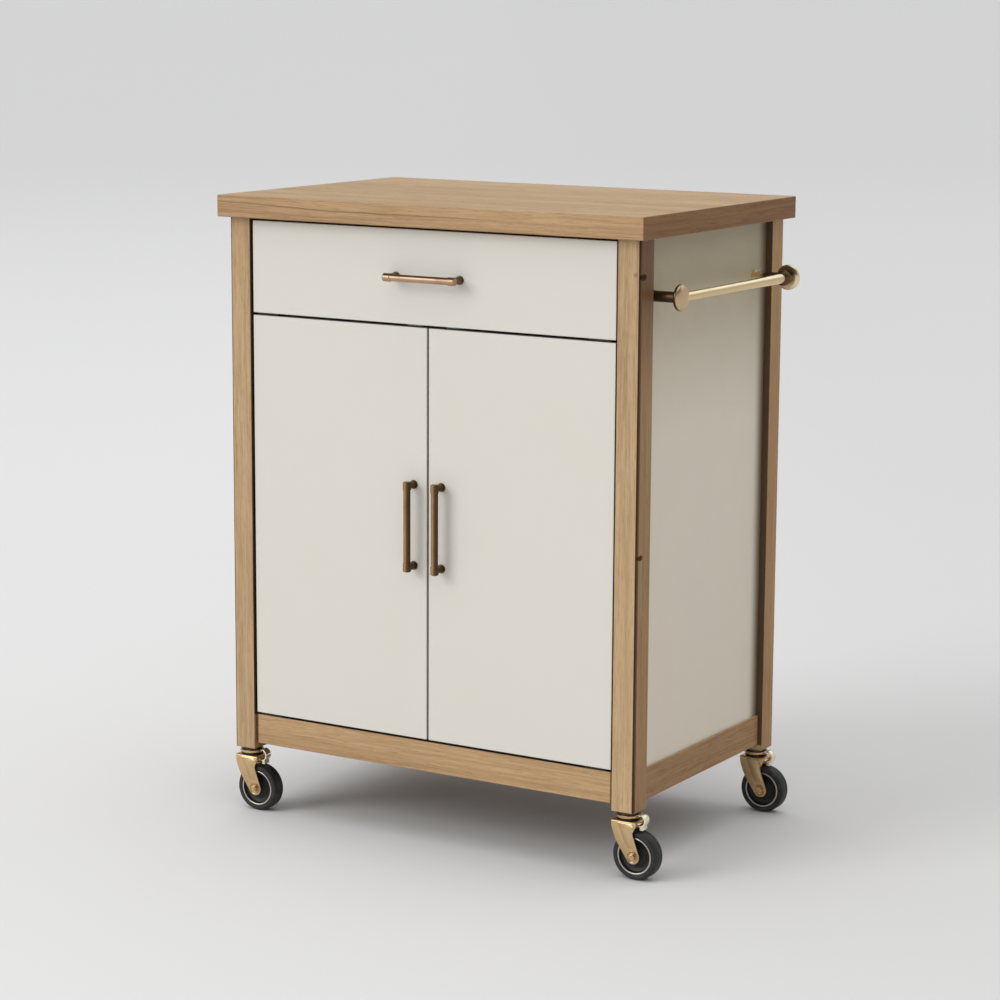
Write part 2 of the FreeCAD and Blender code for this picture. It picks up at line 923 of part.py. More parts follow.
def towel_bar_pieces():
    return {
        "towel_bar": towel_bar(),
        "towel_bar_knobs": Part.makeCompound([front_cap(), rear_knob()]),
        "towel_bar_standoffs": Part.makeCompound(
            [standoff_arm(standoff_front_y, cap_back_x), rear_standoff()]
        ),
    }


def drawer_pieces():
    pull_middle = Vector(0, 0, (drawer_front_top + drawer_front_bottom) / 2)
    pieces = {
        "drawer_front": drawer_front(),
        "drawer_back": drawer_back(),
        "drawer_bottom": drawer_bottom(),
        "drawer_slides": Part.makeCompound([slide(-1), slide(1)]),
        "drawer_pull": pull(pull_middle, X_AXIS, drawer_pull_length, drawer_pull_standoff),
    }
    for side_name, side in SIDES.items():
        pieces[f"drawer_side_{side_name}"] = drawer_side(side)
    return pieces


def door_pieces():
    pieces = {}
    for side_name, side in SIDES.items():
        pull_middle = Vector(side * door_pull_offset, 0, door_pull_height)
        pieces[f"door_{side_name}"] = door(side)
        pieces[f"door_{side_name}_pull"] = pull(
            pull_middle, Z_AXIS, door_pull_length, door_pull_standoff
        )
        pieces[f"door_{side_name}_bushes"] = pivot_bushes(side)
        pieces[f"door_{side_name}_strike"] = strike(side)
    return pieces


def caster_pieces():
    moving = {
        "fork": caster_fork(),
        "axle": caster_axle(),
        "core": caster_core(),
        "tyre": caster_tyre(),
        "brake": caster_brake(),
    }
    stem = caster_stem()
    race = ball_race()
    stems = []
    races = []
    pieces = {}
    for end_name, end in ENDS.items():
        for side_name, side in SIDES.items():
            stems.append(at_post(stem, side, end))
            races.append(at_post(race, side, end))
            for piece_name, shape in moving.items():
                name = f"caster_{end_name}_{side_name}_{piece_name}"
                pieces[name] = at_post(shape, side, end)
    pieces["caster_stems"] = Part.makeCompound(stems)
    pieces["caster_ball_races"] = Part.makeCompound(races)
    return pieces


os.makedirs("parts", exist_ok=True)
groups = (
    frame_pieces(), towel_bar_pieces(), drawer_pieces(), door_pieces(), caster_pieces()
)
for group in groups:
    for name, shape in group.items():
        shape.translate(origin * -1)
        shape.exportStep(f"parts/{name}.step")
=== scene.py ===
import json
import math

import bmesh
import bpy
from bpy.props import FloatProperty, FloatVectorProperty, IntProperty, PointerProperty
from mathutils import Matrix, Vector


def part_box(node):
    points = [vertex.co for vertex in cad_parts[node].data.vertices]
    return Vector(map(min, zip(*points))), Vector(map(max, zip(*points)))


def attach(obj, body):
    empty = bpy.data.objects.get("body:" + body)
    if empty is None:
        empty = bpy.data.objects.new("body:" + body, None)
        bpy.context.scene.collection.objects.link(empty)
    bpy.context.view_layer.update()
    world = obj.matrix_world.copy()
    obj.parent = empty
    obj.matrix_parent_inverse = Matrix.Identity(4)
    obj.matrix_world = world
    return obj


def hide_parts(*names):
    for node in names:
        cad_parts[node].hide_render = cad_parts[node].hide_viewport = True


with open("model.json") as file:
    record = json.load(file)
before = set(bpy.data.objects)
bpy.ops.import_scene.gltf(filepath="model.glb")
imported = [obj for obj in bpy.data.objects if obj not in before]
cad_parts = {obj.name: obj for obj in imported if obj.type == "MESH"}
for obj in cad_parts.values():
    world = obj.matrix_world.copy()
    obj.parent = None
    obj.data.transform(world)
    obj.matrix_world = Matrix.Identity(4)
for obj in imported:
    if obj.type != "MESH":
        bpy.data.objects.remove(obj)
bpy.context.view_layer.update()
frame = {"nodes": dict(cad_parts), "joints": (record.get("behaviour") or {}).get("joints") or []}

bl_info = {
    "name": "Kitchen cart",
    "version": (1, 0, 0),
    "blender": (4, 5, 0),
    "location": "View3D > Sidebar > Cart",
    "description": "Finishes the boards and metalwork of a kitchen cart and models its casters",
    "category": "Object",
}

ORIGIN = Vector((0, 0, 0))
X_AXIS = Vector((1, 0, 0))
Y_AXIS = Vector((0, 1, 0))
Z_AXIS = Vector((0, 0, 1))
MM = 0.001
MERGE_DISTANCE = 1e-6
FULL_TURN = 2 * math.pi
CORNERS = ("front_left", "front_right", "rear_left", "rear_right")
SIDES = {"left": -1, "right": 1}
JOINTS = {joint["name"]: joint for joint in frame["joints"]}


# Sizes and colours that a user would change

def colour_property(name, description, default):
    return FloatVectorProperty(
        name=name, description=description, default=default, subtype="COLOR", size=3, min=0, max=1
    )


def length_property(name, description, default):
    return FloatProperty(
        name=name, description=description, default=default, unit="LENGTH", precision=4
    )


class CartFinishes(bpy.types.PropertyGroup):
    """Colours of the cart's wood, paint, metal and rubber, and of the shade painted on them."""

    oak_light: colour_property("Oak light", "Pale wood between the grain lines", (0.567, 0.394, 0.217))
    oak_dark: colour_property("Oak dark", "Dark grain lines of the oak", (0.346, 0.21, 0.096))
    oak_pore: colour_property("Oak pores", "Fine open pores of the oak", (0.20, 0.11, 0.045))
    # Painted shade: the three tints below darken the faces that look left or right, away from the key light;
    # on the worktop's ends the tint also stands for end grain.
    oak_side_shade: colour_property("Oak side", "Tint of the posts' and rails' side faces", (0.72, 0.605, 0.45))
    oak_rear_side_shade: colour_property("Oak rear", "Tint of the rear posts' side faces", (0.86, 0.725, 0.54))
    oak_end_shade: colour_property("Oak end", "Tint of the worktop's end grain", (0.485, 0.337, 0.138))
    # Painted shade: upright faces of boards whose grain runs along X are made darker and warmer than their
    # tops.
    oak_upright_shade: colour_property("Oak warm", "Tint of upright faces along the cart", (0.95, 0.895, 0.84))
    # Painted shade on the rear posts' forward faces beside the recessed side panels.
    oak_shade: colour_property("Oak shade", "Stained inner faces of the rear posts", (0.07, 0.038, 0.017))
    # Painted shade under the worktop's overhang on the front right post's side.
    oak_under_top_shade: colour_property("Oak smoke", "Tint of a post's side under the worktop", (0.45, 0.37, 0.29))
    # Painted shade in the posts' corner notch and at the rails' joints.
    oak_groove_shade: colour_property("Oak groove", "Stained notch along the posts", (0.075, 0.034, 0.013))
    oak_knot: colour_property("Oak knot", "Small dark knots in a post", (0.03, 0.015, 0.006))
    # Painted shade: darkens the faces round the fronts, where the gaps lie in shade.
    reveal: colour_property("Reveal", "Dark stain in the gaps round the fronts", (0.034, 0.022, 0.013))
    paint: colour_property("Paint", "Off-white paint of the fronts and panels", (0.679, 0.652, 0.594))
    side_paint: colour_property("Side paint", "Warmer paint of the side panels", (0.73, 0.66, 0.54))
    # Painted shade on the right side panel: darker under the worktop and brown in the corner beside the rear
    # post.
    side_shade: colour_property("Side shade", "Tint of a side panel under the worktop", (0.56, 0.52, 0.42))
    side_corner_shade: colour_property("Side glaze", "Glaze along a side panel's rear edge", (0.15, 0.105, 0.06))
    paint_shade: colour_property("Paint shade", "Warmer patches in the paint", (0.68, 0.635, 0.555))
    inner_paint: colour_property("Inner lacquer", "Lacquer inside the cabinet", (0.66, 0.63, 0.57))
    raw_board: colour_property("Raw board", "Bare underside of the cabinet floor", (0.20, 0.135, 0.08))
    birch_light: colour_property("Birch light", "Pale birch of the drawer box", (0.66, 0.50, 0.32))
    birch_dark: colour_property("Birch dark", "Dark layers and lines of the birch", (0.44, 0.29, 0.16))
    brass: colour_property("Brass", "Pale brass of the towel bar", (0.97, 0.87, 0.59))
    brass_dull: colour_property("Dull brass", "Tarnished patches of the pale brass", (0.84, 0.69, 0.42))
    # Painted shade: darkens the towel bar's lower half.
    brass_shade: colour_property("Brass shade", "Tarnish under the towel bar", (0.66, 0.47, 0.23))
    knob_brass: colour_property("Knob brass", "Brass of the towel bar's rear knob", (0.84, 0.67, 0.41))
    cap_brass: colour_property("Cap brass", "Deeper brass of the towel bar's front cap", (0.58, 0.43, 0.25))
    gold: colour_property("Golden brass", "Golden brass of the casters", (0.65, 0.465, 0.255))
    gold_dull: colour_property("Dull golden brass", "Tarnish on the casters", (0.48, 0.33, 0.165))
    lever_brass: colour_property("Lever brass", "Polished brass of the brake levers", (0.90, 0.82, 0.64))
    # Painted light and shade: the drawer pull gets a paler copy of the pulls' bronze, the upright door pulls
    # a darker one.
    bronze: colour_property("Bronze", "Dark bronze of the door pulls", (0.38, 0.235, 0.125))
    bronze_dull: colour_property("Dull bronze", "Darker patches of the bronze", (0.25, 0.14, 0.07))
    copper: colour_property("Copper", "Paler copper bronze of the drawer pull", (0.48, 0.32, 0.21))
    copper_dull: colour_property("Dull copper", "Darker patches of the drawer pull", (0.38, 0.243, 0.15))
    # Partly painted shade: the stand-offs are near-black where they sit in shade.
    dark_bronze: colour_property("Dark bronze", "Bronze of the stand-offs", (0.11, 0.07, 0.035))
    # Painted shade on the pulls' feet, tops and sides and on the towel bar's ends.
    metal_shade: colour_property("Patina", "Dark patina on the pulls and knobs", (0.075, 0.04, 0.018))
    steel: colour_property("Steel", "Zinc-plated steel of the slides", (0.52, 0.53, 0.54))
    steel_dull: colour_property("Dull steel", "Darker zinc spangle", (0.38, 0.39, 0.41))
    # Partly painted shade: the dark steel makes the collars, swivel races and pivot plates vanish in the
    # shade round them.
    dark_steel: colour_property("Dark steel", "Blackened steel of the collars", (0.045, 0.04, 0.035))
    trim: colour_property("Trim", "Dull steel of the wheels' trim rings", (0.50, 0.46, 0.40))
    plastic: colour_property("Plastic", "White plastic of the catches", (0.72, 0.72, 0.70))
    core: colour_property("Wheel core", "Dark plastic of the wheel cores", (0.011, 0.010, 0.009))
    core_dust: colour_property("Core dust", "Thin dust on the wheel cores", (0.05, 0.042, 0.034))
    rubber: colour_property("Rubber", "Black rubber of the tyres", (0.012, 0.012, 0.013))
    dust: colour_property("Dust", "Pale dust on the tyres", (0.16, 0.15, 0.135))


class CartCasterSizes(bpy.types.PropertyGroup):
    """Sizes of the details on the casters."""

    fork_bevel: length_property("Fork bevel", "Broken edge of the fork's sheet", 0.5 * MM)
    rib_height: length_property("Rib height", "How far the pressed rib stands out of a cheek", 0.7 * MM)
    rivet_radius: length_property("Rivet radius", "Head of the rivet that holds the lever", 3.2 * MM)
    lever_bevel: length_property("Lever bevel", "Broken edge of the brake lever", 0.5 * MM)
    ball_radius: length_property("Ball radius", "Balls in the swivel race", 1.25 * MM)
    ball_count: IntProperty(name="Balls", description="Balls in each swivel race", default=16, min=6)
    wheel_steps: IntProperty(name="Wheel steps", description="Steps round a wheel", default=96, min=24)


class CartScrewSizes(bpy.types.PropertyGroup):
    """Sizes of the screws."""

    head_radius: length_property("Head radius", "Countersunk screw head", 3.4 * MM)
    pan_radius: length_property("Pan radius", "Pan head of the pulls' screws", 4.2 * MM)
    pan_height: length_property("Pan height", "Height of the pan head", 2.4 * MM)
    slot_width: length_property("Recess width", "Width of the cross recess", 0.9 * MM)


class CartStage(bpy.types.PropertyGroup):
    """Light, floor and camera of the picture."""

    # Painted light on the floor: brighter near the cart, darker far away and towards one side.
    floor_colour: colour_property("Floor", "Pale studio floor", (0.672, 0.672, 0.6725))
    floor_far: colour_property("Far floor", "Floor towards its far edge", (0.56, 0.56, 0.565))
    backdrop: colour_property("Backdrop", "Backdrop past the floor's edge", (0.645, 0.645, 0.65))
    ceiling: colour_property("Ceiling", "Dim ceiling that the metal mirrors", (0.16, 0.16, 0.165))
    overhead: colour_property("Overhead", "Soft panel overhead that the metal mirrors", (1.0, 1.0, 1.0))
    sky_low: FloatProperty(name="Low sky", description="Soft light from the walls", default=0.20)
    sky_high: FloatProperty(name="High sky", description="Soft light from straight above", default=1.9)
    sun_power: FloatProperty(name="Key power", description="Soft light from the front left", default=1.35)
    sun_spread: FloatProperty(
        name="Key spread", description="How wide the key light looks", default=math.radians(35),
        subtype="ANGLE", unit="ROTATION",
    )
    sun_from: FloatVectorProperty(
        name="Key direction", description="Where the key light comes from",
        default=(-0.52, -0.76, 0.42), subtype="DIRECTION",
    )
    # Painted light fall-off across the floor.
    fall_from: FloatVectorProperty(
        name="Floor fall-off", description="Direction in which the floor darkens a little",
        default=(0.855, 0.519, 0), subtype="DIRECTION",
    )
    lens: FloatProperty(name="Lens", description="Focal length in millimetres", default=104.087)
    camera_place: FloatVectorProperty(
        name="Camera", description="Where the camera stands",
        default=(2.11871, -3.53391, 1.20886), subtype="TRANSLATION", unit="LENGTH",
    )
    camera_turn: FloatVectorProperty(
        name="Camera turn", description="Yaw, downward pitch and roll of the camera",
        default=(0.545982, 0.178360, 0.005415), subtype="EULER", unit="ROTATION",
    )


# Modelling by hand: outlines, turned pieces, copies

SMOOTH_ANGLE = 35
BEVEL_ANGLE = 40


def select_only(*pieces):
    """Selects these pieces and makes the first one active."""
    bpy.ops.object.select_all(action="DESELECT")
    for piece in pieces:
        piece.select_set(True)
    bpy.context.view_layer.objects.active = pieces[0]


def renamed(piece, name):
    """A piece whose object and mesh have a new name."""
    piece.name = name
    piece.data.name = name
    return piece


def edit(piece):
    """Goes into edit mode on one piece with all of it selected."""
    select_only(piece)
    bpy.ops.object.mode_set(mode="EDIT")
    bpy.ops.mesh.select_mode(type="VERT")
    bpy.ops.mesh.select_all(action="SELECT")


def rest():
    """Goes back to object mode."""
    bpy.ops.object.mode_set(mode="OBJECT")


def draw_line(name, points):
    """A new piece in edit mode: one vertex drawn out from point to point."""
    bpy.ops.mesh.primitive_plane_add(size=1, location=ORIGIN)
    piece = renamed(bpy.context.active_object, name)
    edit(piece)
    bpy.ops.mesh.merge(type="CENTER")
    bpy.ops.transform.translate(value=points[0])
    for before, after in zip(points, points[1:]):
        bpy.ops.mesh.extrude_vertices_move(TRANSFORM_OT_translate={"value": after - before})
    bpy.ops.mesh.select_all(action="SELECT")
    return piece


def clean_up():
    """Merges doubles and turns the faces outwards, in edit mode."""
    bpy.ops.mesh.select_all(action="SELECT")
    bpy.ops.mesh.remove_doubles(threshold=MERGE_DISTANCE)
    bpy.ops.mesh.normals_make_consistent(inside=False)


def smooth(piece, angle=SMOOTH_ANGLE):
    """Shades a piece smooth where its faces meet at less than an angle."""
    select_only(piece)
    bpy.ops.object.shade_smooth_by_angle(angle=math.radians(angle))


def turned(name, profile, centre=ORIGIN, axis=Z_AXIS, radial=X_AXIS, steps=64):
    """A piece turned on a lathe from millimetre points (radius, distance along the axis)."""
    points = [centre + radial * (radius * MM) + axis * (along * MM) for radius, along in profile]
    piece = draw_line(name, points)
    bpy.ops.mesh.spin(steps=steps, angle=FULL_TURN, center=centre, axis=axis)
    clean_up()
    rest()
    smooth(piece)
    return piece


def slab(name, outline, thickness):
    """A closed outline filled and drawn out by a thickness vector."""
    piece = draw_line(name, outline + outline[:1])
    bpy.ops.mesh.remove_doubles(threshold=MERGE_DISTANCE)
    bpy.ops.mesh.edge_face_add()
    bpy.ops.mesh.extrude_region_move(TRANSFORM_OT_translate={"value": thickness})
    clean_up()
    rest()
    return piece


def select_faces(piece, test):
    """Selects the faces whose normal passes a test, in edit mode."""
    bpy.ops.mesh.select_mode(type="FACE")
    bpy.ops.mesh.select_all(action="DESELECT")
    mesh = bmesh.from_edit_mesh(piece.data)
    for face in mesh.faces:
        face.select_set(test(face.normal))
    mesh.select_flush_mode()
    bmesh.update_edit_mesh(piece.data)


def apply_modifier(piece, kind, **settings):
    """Adds a modifier to a piece and applies it."""
    modifier = piece.modifiers.new(kind.title(), kind)
    for name, value in settings.items():
        setattr(modifier, name, value)
    select_only(piece)
    bpy.ops.object.modifier_apply(modifier=modifier.name)


def break_edges(piece, width, segments=2):
    """Bevels the sharp edges of a piece."""
    apply_modifier(
        piece, "BEVEL", width=width, segments=segments, limit_method="ANGLE",
        angle_limit=math.radians(BEVEL_ANGLE), use_clamp_overlap=True,
    )
    smooth(piece)


def remove(*pieces):
    """Deletes pieces that were only needed on the way."""
    select_only(*pieces)
    bpy.ops.object.delete()


def combine(piece, other, operation):
    """Joins, cuts or intersects a piece with another one, which is used up."""
    apply_modifier(piece, "BOOLEAN", object=other, operation=operation, solver="EXACT")
    remove(other)


def join(pieces, name):
    """Several pieces as one."""
    select_only(*pieces)
    bpy.ops.object.join()
    return renamed(bpy.context.active_object, name)


def copy_of(source, name, shift=ORIGIN, turn=None):
    """A copy with its own mesh, turned about the origin and then shifted."""
    select_only(source)
    bpy.ops.object.duplicate(linked=False)
    piece = renamed(bpy.context.active_object, name)
    if turn is not None:
        piece.data.transform(turn)
    edit(piece)
    bpy.ops.transform.translate(value=shift)
    rest()
    return piece


def mirrored(source, name):
    """A copy mirrored across the XZ plane."""
    piece = copy_of(source, name)
    edit(piece)
    bpy.ops.transform.resize(value=(1, -1, 1), center_override=ORIGIN)
    bpy.ops.mesh.normals_make_consistent(inside=False)
    rest()
    return piece


def arc(centre, radius, start, end, steps):
    """Points (a, b) on an arc between two angles in degrees."""
    points = []
    for step in range(steps + 1):
        angle = math.radians(start + (end - start) * step / steps)
        points.append((centre[0] + radius * math.cos(angle), centre[1] + radius * math.sin(angle)))
    return points


def rounded(corners, steps=5):
    """Points (a, b) along straight runs, with corners (a, b, reach) rounded by a curve."""
    points = [tuple(corners[0][:2])]
    for before, corner, after in zip(corners, corners[1:], corners[2:]):
        middle = Vector(corner[:2])
        start = middle + (Vector(before[:2]) - middle).normalized() * corner[2]
        end = middle + (Vector(after[:2]) - middle).normalized() * corner[2]
        for step in range(steps + 1):
            share = step / steps
            place = start.lerp(middle, share).lerp(middle.lerp(end, share), share)
            points.append(tuple(place))
    points.append(tuple(corners[-1][:2]))
    return points


def touch_angle(point, centre, radius, side):
    """Angle in degrees at which a line from a point touches a circle."""
    away = Vector(point) - Vector(centre)
    return math.degrees(math.atan2(away.y, away.x) + side * math.acos(radius / away.length))


def in_xz(points, y):
    """Millimetre points (x, z) as places in metres on a plane across Y."""
    return [Vector((x * MM, y * MM, z * MM)) for x, z in points]


def in_yz(points, x):
    """Millimetre points (y, z) as places in metres on a plane across X."""
    return [Vector((x * MM, y * MM, z * MM)) for y, z in points]


def both_sides(half):
    """A half profile and its mirror image along the axis, as a closed one."""
    return half + [(radius, -along) for radius, along in reversed(half)] + half[:1]


# Shader nodes

# Places of the Mix node's two inputs and its output, for each kind of data
MIX_SOCKETS = {"RGBA": (6, 7, 2), "VECTOR": (4, 5, 1)}


class Wiring:
    """Adds nodes to one node tree and links them."""

    def __init__(self, tree):
        self.tree = tree

    def node(self, kind, inputs=None, **settings):
        node = self.tree.nodes.new(kind)
        for name, value in settings.items():
            setattr(node, name, value)
        for name, value in (inputs or {}).items():
            self.feed(node.inputs[name], value)
        return node

    def feed(self, socket, value):
        """Links another socket to this one, or sets its value; a colour is made opaque."""
        if isinstance(value, bpy.types.NodeSocket):
            self.tree.links.new(value, socket)
        elif socket.type == "RGBA":
            socket.default_value = (*value[:3], 1.0)
        else:
            socket.default_value = value

    def put(self, target, **values):
        """Feeds several sockets by their names."""
        for name, value in values.items():
            self.feed(target[name], value)

    def math(self, operation, first, second=0.0):
        return self.node("ShaderNodeMath", {0: first, 1: second}, operation=operation).outputs[0]

    def above(self, value, level):
        """One where a value is above a level, none elsewhere."""
        return self.math("GREATER_THAN", value, level)

    def below(self, value, level):
        """One where a value is below a level, none elsewhere."""
        return self.math("LESS_THAN", value, level)

    def times(self, first, *others):
        """Values multiplied with each other."""
        for other in others:
            first = self.math("MULTIPLY", first, other)
        return first

    def weigh(self, *parts):
        """Sum of values times their weights."""
        total = 0.0
        for value, weight in parts:
            step = self.node("ShaderNodeMath", {0: value, 1: weight, 2: total}, operation="MULTIPLY_ADD")
            total = step.outputs[0]
        return total

    def parts(self, vector):
        """The three numbers of a vector."""
        return self.node("ShaderNodeSeparateXYZ", {0: vector}).outputs

    def vector(self, operation, first, second=ORIGIN):
        return self.node("ShaderNodeVectorMath", {0: first, 1: second}, operation=operation).outputs[0]

    def length(self, vector):
        return self.node("ShaderNodeVectorMath", {0: vector}, operation="LENGTH").outputs["Value"]

    def noise(self, vector, scale, detail=2.0, roughness=0.5):
        return self.node(
            "ShaderNodeTexNoise",
            {"Vector": vector, "Scale": scale, "Detail": detail, "Roughness": roughness},
        ).outputs

    def stretched(self, vector, stretch, detail=2.0, roughness=0.5):
        """Noise whose scale differs along the three axes."""
        return self.noise(self.vector("MULTIPLY", vector, stretch), 1.0, detail, roughness)

    def spread(self, value, low, high, to_low=0.0, to_high=1.0):
        """Maps a range of values to another one, with soft ends."""
        return self.node(
            "ShaderNodeMapRange",
            {"Value": value, "From Min": low, "From Max": high, "To Min": to_low, "To Max": to_high},
            interpolation_type="SMOOTHSTEP",
        ).outputs[0]

    def blend(self, factor, first, second, mode="MIX", kind="RGBA"):
        node = self.node("ShaderNodeMix", {0: factor}, data_type=kind, blend_type=mode)
        first_socket, second_socket, output = MIX_SOCKETS[kind]
        self.feed(node.inputs[first_socket], first)
        self.feed(node.inputs[second_socket], second)
        return node.outputs[output]

    def group(self, name, inputs):
        """Outputs of a shared node group, which is built the first time that it is asked for."""
        tree = bpy.data.node_groups.get(name) or GROUP_BUILDERS[name]()
        return self.node("ShaderNodeGroup", inputs, node_tree=tree).outputs


SOCKETS = {"vector": "NodeSocketVector", "colour": "NodeSocketColor", "value": "NodeSocketFloat"}
SURFACE_OUTPUTS = {"Color": "colour", "Roughness": "value", "Height": "value"}


def new_group(name, inputs, outputs):
    """An empty shader node group with named sockets."""
    tree = bpy.data.node_groups.new(name, "ShaderNodeTree")
    for direction, sockets in (("INPUT", inputs), ("OUTPUT", outputs)):
        for label, kind in sockets.items():
            tree.interface.new_socket(name=label, in_out=direction, socket_type=SOCKETS[kind])
    wire = Wiring(tree)
    source = wire.node("NodeGroupInput").outputs
    target = wire.node("NodeGroupOutput").inputs
    return wire, source, target


def board_edge_group():
    """How far a point on a board is from the nearest edge of its box."""
    wire, source, target = new_group(
        "Board edge",
        {"Vector": "vector", "Centre": "vector", "Half size": "vector"},
        {"Distance": "value"},
    )
    offset = wire.vector("ABSOLUTE", wire.vector("SUBTRACT", source["Vector"], source["Centre"]))
    depth = wire.parts(wire.vector("SUBTRACT", source["Half size"], offset))
    low = wire.math("MINIMUM", depth[0], depth[1])
    high = wire.math("MAXIMUM", depth[0], depth[1])
    second = wire.math("MAXIMUM", low, wire.math("MINIMUM", high, depth[2]))
    wire.put(target, Distance=second)
    return wire.tree


# Each layer of the oak's figure: its scales along and across the grain, detail and roughness
OAK_LAYERS = {
    "drift": ((4, 11, 11), 1.0),
    "tone": ((1.3, 13, 13), 1.0),
    "bands": ((1.4, 95, 95), 2.0),
    "streaks": ((8, 360, 360), 3.0, 0.6),
    "pores": ((38, 1150, 1150), 2.0, 0.7),
}
OAK_RANGES = {"tone": (0.3, 0.7), "bands": (0.3, 0.7), "streaks": (0.32, 0.68), "pores": (0.53, 0.68)}
OAK_WEIGHTS = {"tone": 0.26, "bands": 0.34, "streaks": 0.46}
OAK_DRIFT = (0, 0.014, 0.014)
MIDDLE_GREY = (0.5, 0.5, 0.5)
PORE_STRENGTH = 0.42
PORE_DEPTH = -1.6
OPEN_GRAIN = (0.2, 1.6)
OAK_ROUGHNESS = (0.44, 0.68)


def oak_group():
    """Oiled oak whose grain runs along X: broad bands, streaks and short open pores."""
    wire, source, target = new_group(
        "Oak figure",
        {"Vector": "vector", "Light": "colour", "Dark": "colour", "Pore": "colour"},
        SURFACE_OUTPUTS,
    )
    place = source["Vector"]
    drift = wire.vector("SUBTRACT", wire.stretched(place, *OAK_LAYERS["drift"])["Color"], MIDDLE_GREY)
    bent = wire.vector("ADD", place, wire.vector("MULTIPLY", drift, OAK_DRIFT))
    raw = {}
    layers = {}
    for name, levels in OAK_RANGES.items():
        raw[name] = wire.stretched(place if name == "tone" else bent, *OAK_LAYERS[name])["Fac"]
        layers[name] = wire.spread(raw[name], *levels)
    streaks = raw["streaks"]
    pores = layers["pores"]
    figure = wire.weigh(*((layers[name], weight) for name, weight in OAK_WEIGHTS.items()))
    colour = wire.blend(wire.math("MINIMUM", figure, 1.0), source["Light"], source["Dark"])
    colour = wire.blend(wire.times(pores, PORE_STRENGTH), colour, source["Pore"])
    roughness = wire.spread(wire.math("ADD", pores, streaks), *OPEN_GRAIN, *OAK_ROUGHNESS)
    height = wire.weigh((streaks, 1.0), (pores, PORE_DEPTH))
    wire.put(target, Color=colour, Roughness=roughness, Height=height)
    return wire.tree


PAINT_SCALES = {"mottle": 6.0, "peel": 620.0, "gloss": 34.0}
MOTTLE_RANGE = (0.35, 0.75)
MOTTLE_STRENGTH = 0.32
GLOSS_RANGE = (0.25, 0.75)
PAINT_ROUGHNESS = (0.36, 0.50)


def paint_group():
    """Satin paint: soft mottling, a fine orange peel and uneven gloss."""
    wire, source, target = new_group(
        "Satin paint", {"Vector": "vector", "Base": "colour", "Shade": "colour"}, SURFACE_OUTPUTS
    )
    place = source["Vector"]
    mottle = wire.spread(wire.noise(place, PAINT_SCALES["mottle"], 3.0)["Fac"], *MOTTLE_RANGE)
    peel = wire.noise(place, PAINT_SCALES["peel"], 1.0)["Fac"]
    gloss = wire.noise(place, PAINT_SCALES["gloss"], 3.0)["Fac"]
    colour = wire.blend(wire.times(mottle, MOTTLE_STRENGTH), source["Base"], source["Shade"])
    roughness = wire.spread(gloss, *GLOSS_RANGE, *PAINT_ROUGHNESS)
    wire.put(target, Color=colour, Roughness=roughness, Height=peel)
    return wire.tree


TARNISH_SCALE = 26.0
TARNISH_RANGE = (0.38, 0.78)
TARNISH_STRENGTH = 0.7
TARNISH_ROUGHNESS = 0.12
BRUSH_ROUGHNESS = 0.10


def metal_group():
    """Brushed metal with dull patches; Brush stretches the brushing along a direction."""
    wire, source, target = new_group(
        "Brushed metal",
        {
            "Vector": "vector", "Brush": "vector", "Bright": "colour", "Dull": "colour",
            "Roughness": "value",
        },
        SURFACE_OUTPUTS,
    )
    place = source["Vector"]
    patches = wire.spread(wire.noise(place, TARNISH_SCALE, 4.0, 0.6)["Fac"], *TARNISH_RANGE)
    brush = wire.stretched(place, source["Brush"], 2.0, 0.6)["Fac"]
    colour = wire.blend(wire.times(patches, TARNISH_STRENGTH), source["Bright"], source["Dull"])
    uneven = wire.weigh((patches, TARNISH_ROUGHNESS), (brush, BRUSH_ROUGHNESS), (source["Roughness"], 1.0))
    wire.put(target, Color=colour, Roughness=uneven, Height=brush)
    return wire.tree


DUST_SCALE = 60.0
DUST_RANGE = (0.48, 0.85)
DUST_STRENGTH = 0.34
SKIN_SCALE = 1500.0
SKIN_RANGE = (0.2, 1.1)
SKIN_ROUGHNESS = (0.42, 0.75)


def dusty_group():
    """Rubber or plastic with a fine skin and thin pale dust in patches."""
    wire, source, target = new_group(
        "Dusty skin", {"Vector": "vector", "Base": "colour", "Dust": "colour"}, SURFACE_OUTPUTS
    )
    place = source["Vector"]
    patches = wire.noise(place, DUST_SCALE, 5.0, 0.65)["Fac"]
    dust = wire.spread(patches, *DUST_RANGE, 0.0, DUST_STRENGTH)
    skin = wire.noise(place, SKIN_SCALE, 1.0)["Fac"]
    colour = wire.blend(dust, source["Base"], source["Dust"])
    roughness = wire.spread(wire.math("ADD", dust, skin), *SKIN_RANGE, *SKIN_ROUGHNESS)
    wire.put(target, Color=colour, Roughness=roughness, Height=skin)
    return wire.tree


GROUP_BUILDERS = {
    "Board edge": board_edge_group,
    "Oak figure": oak_group,
    "Satin paint": paint_group,
    "Brushed metal": metal_group,
    "Dusty skin": dusty_group,
}


# Materials

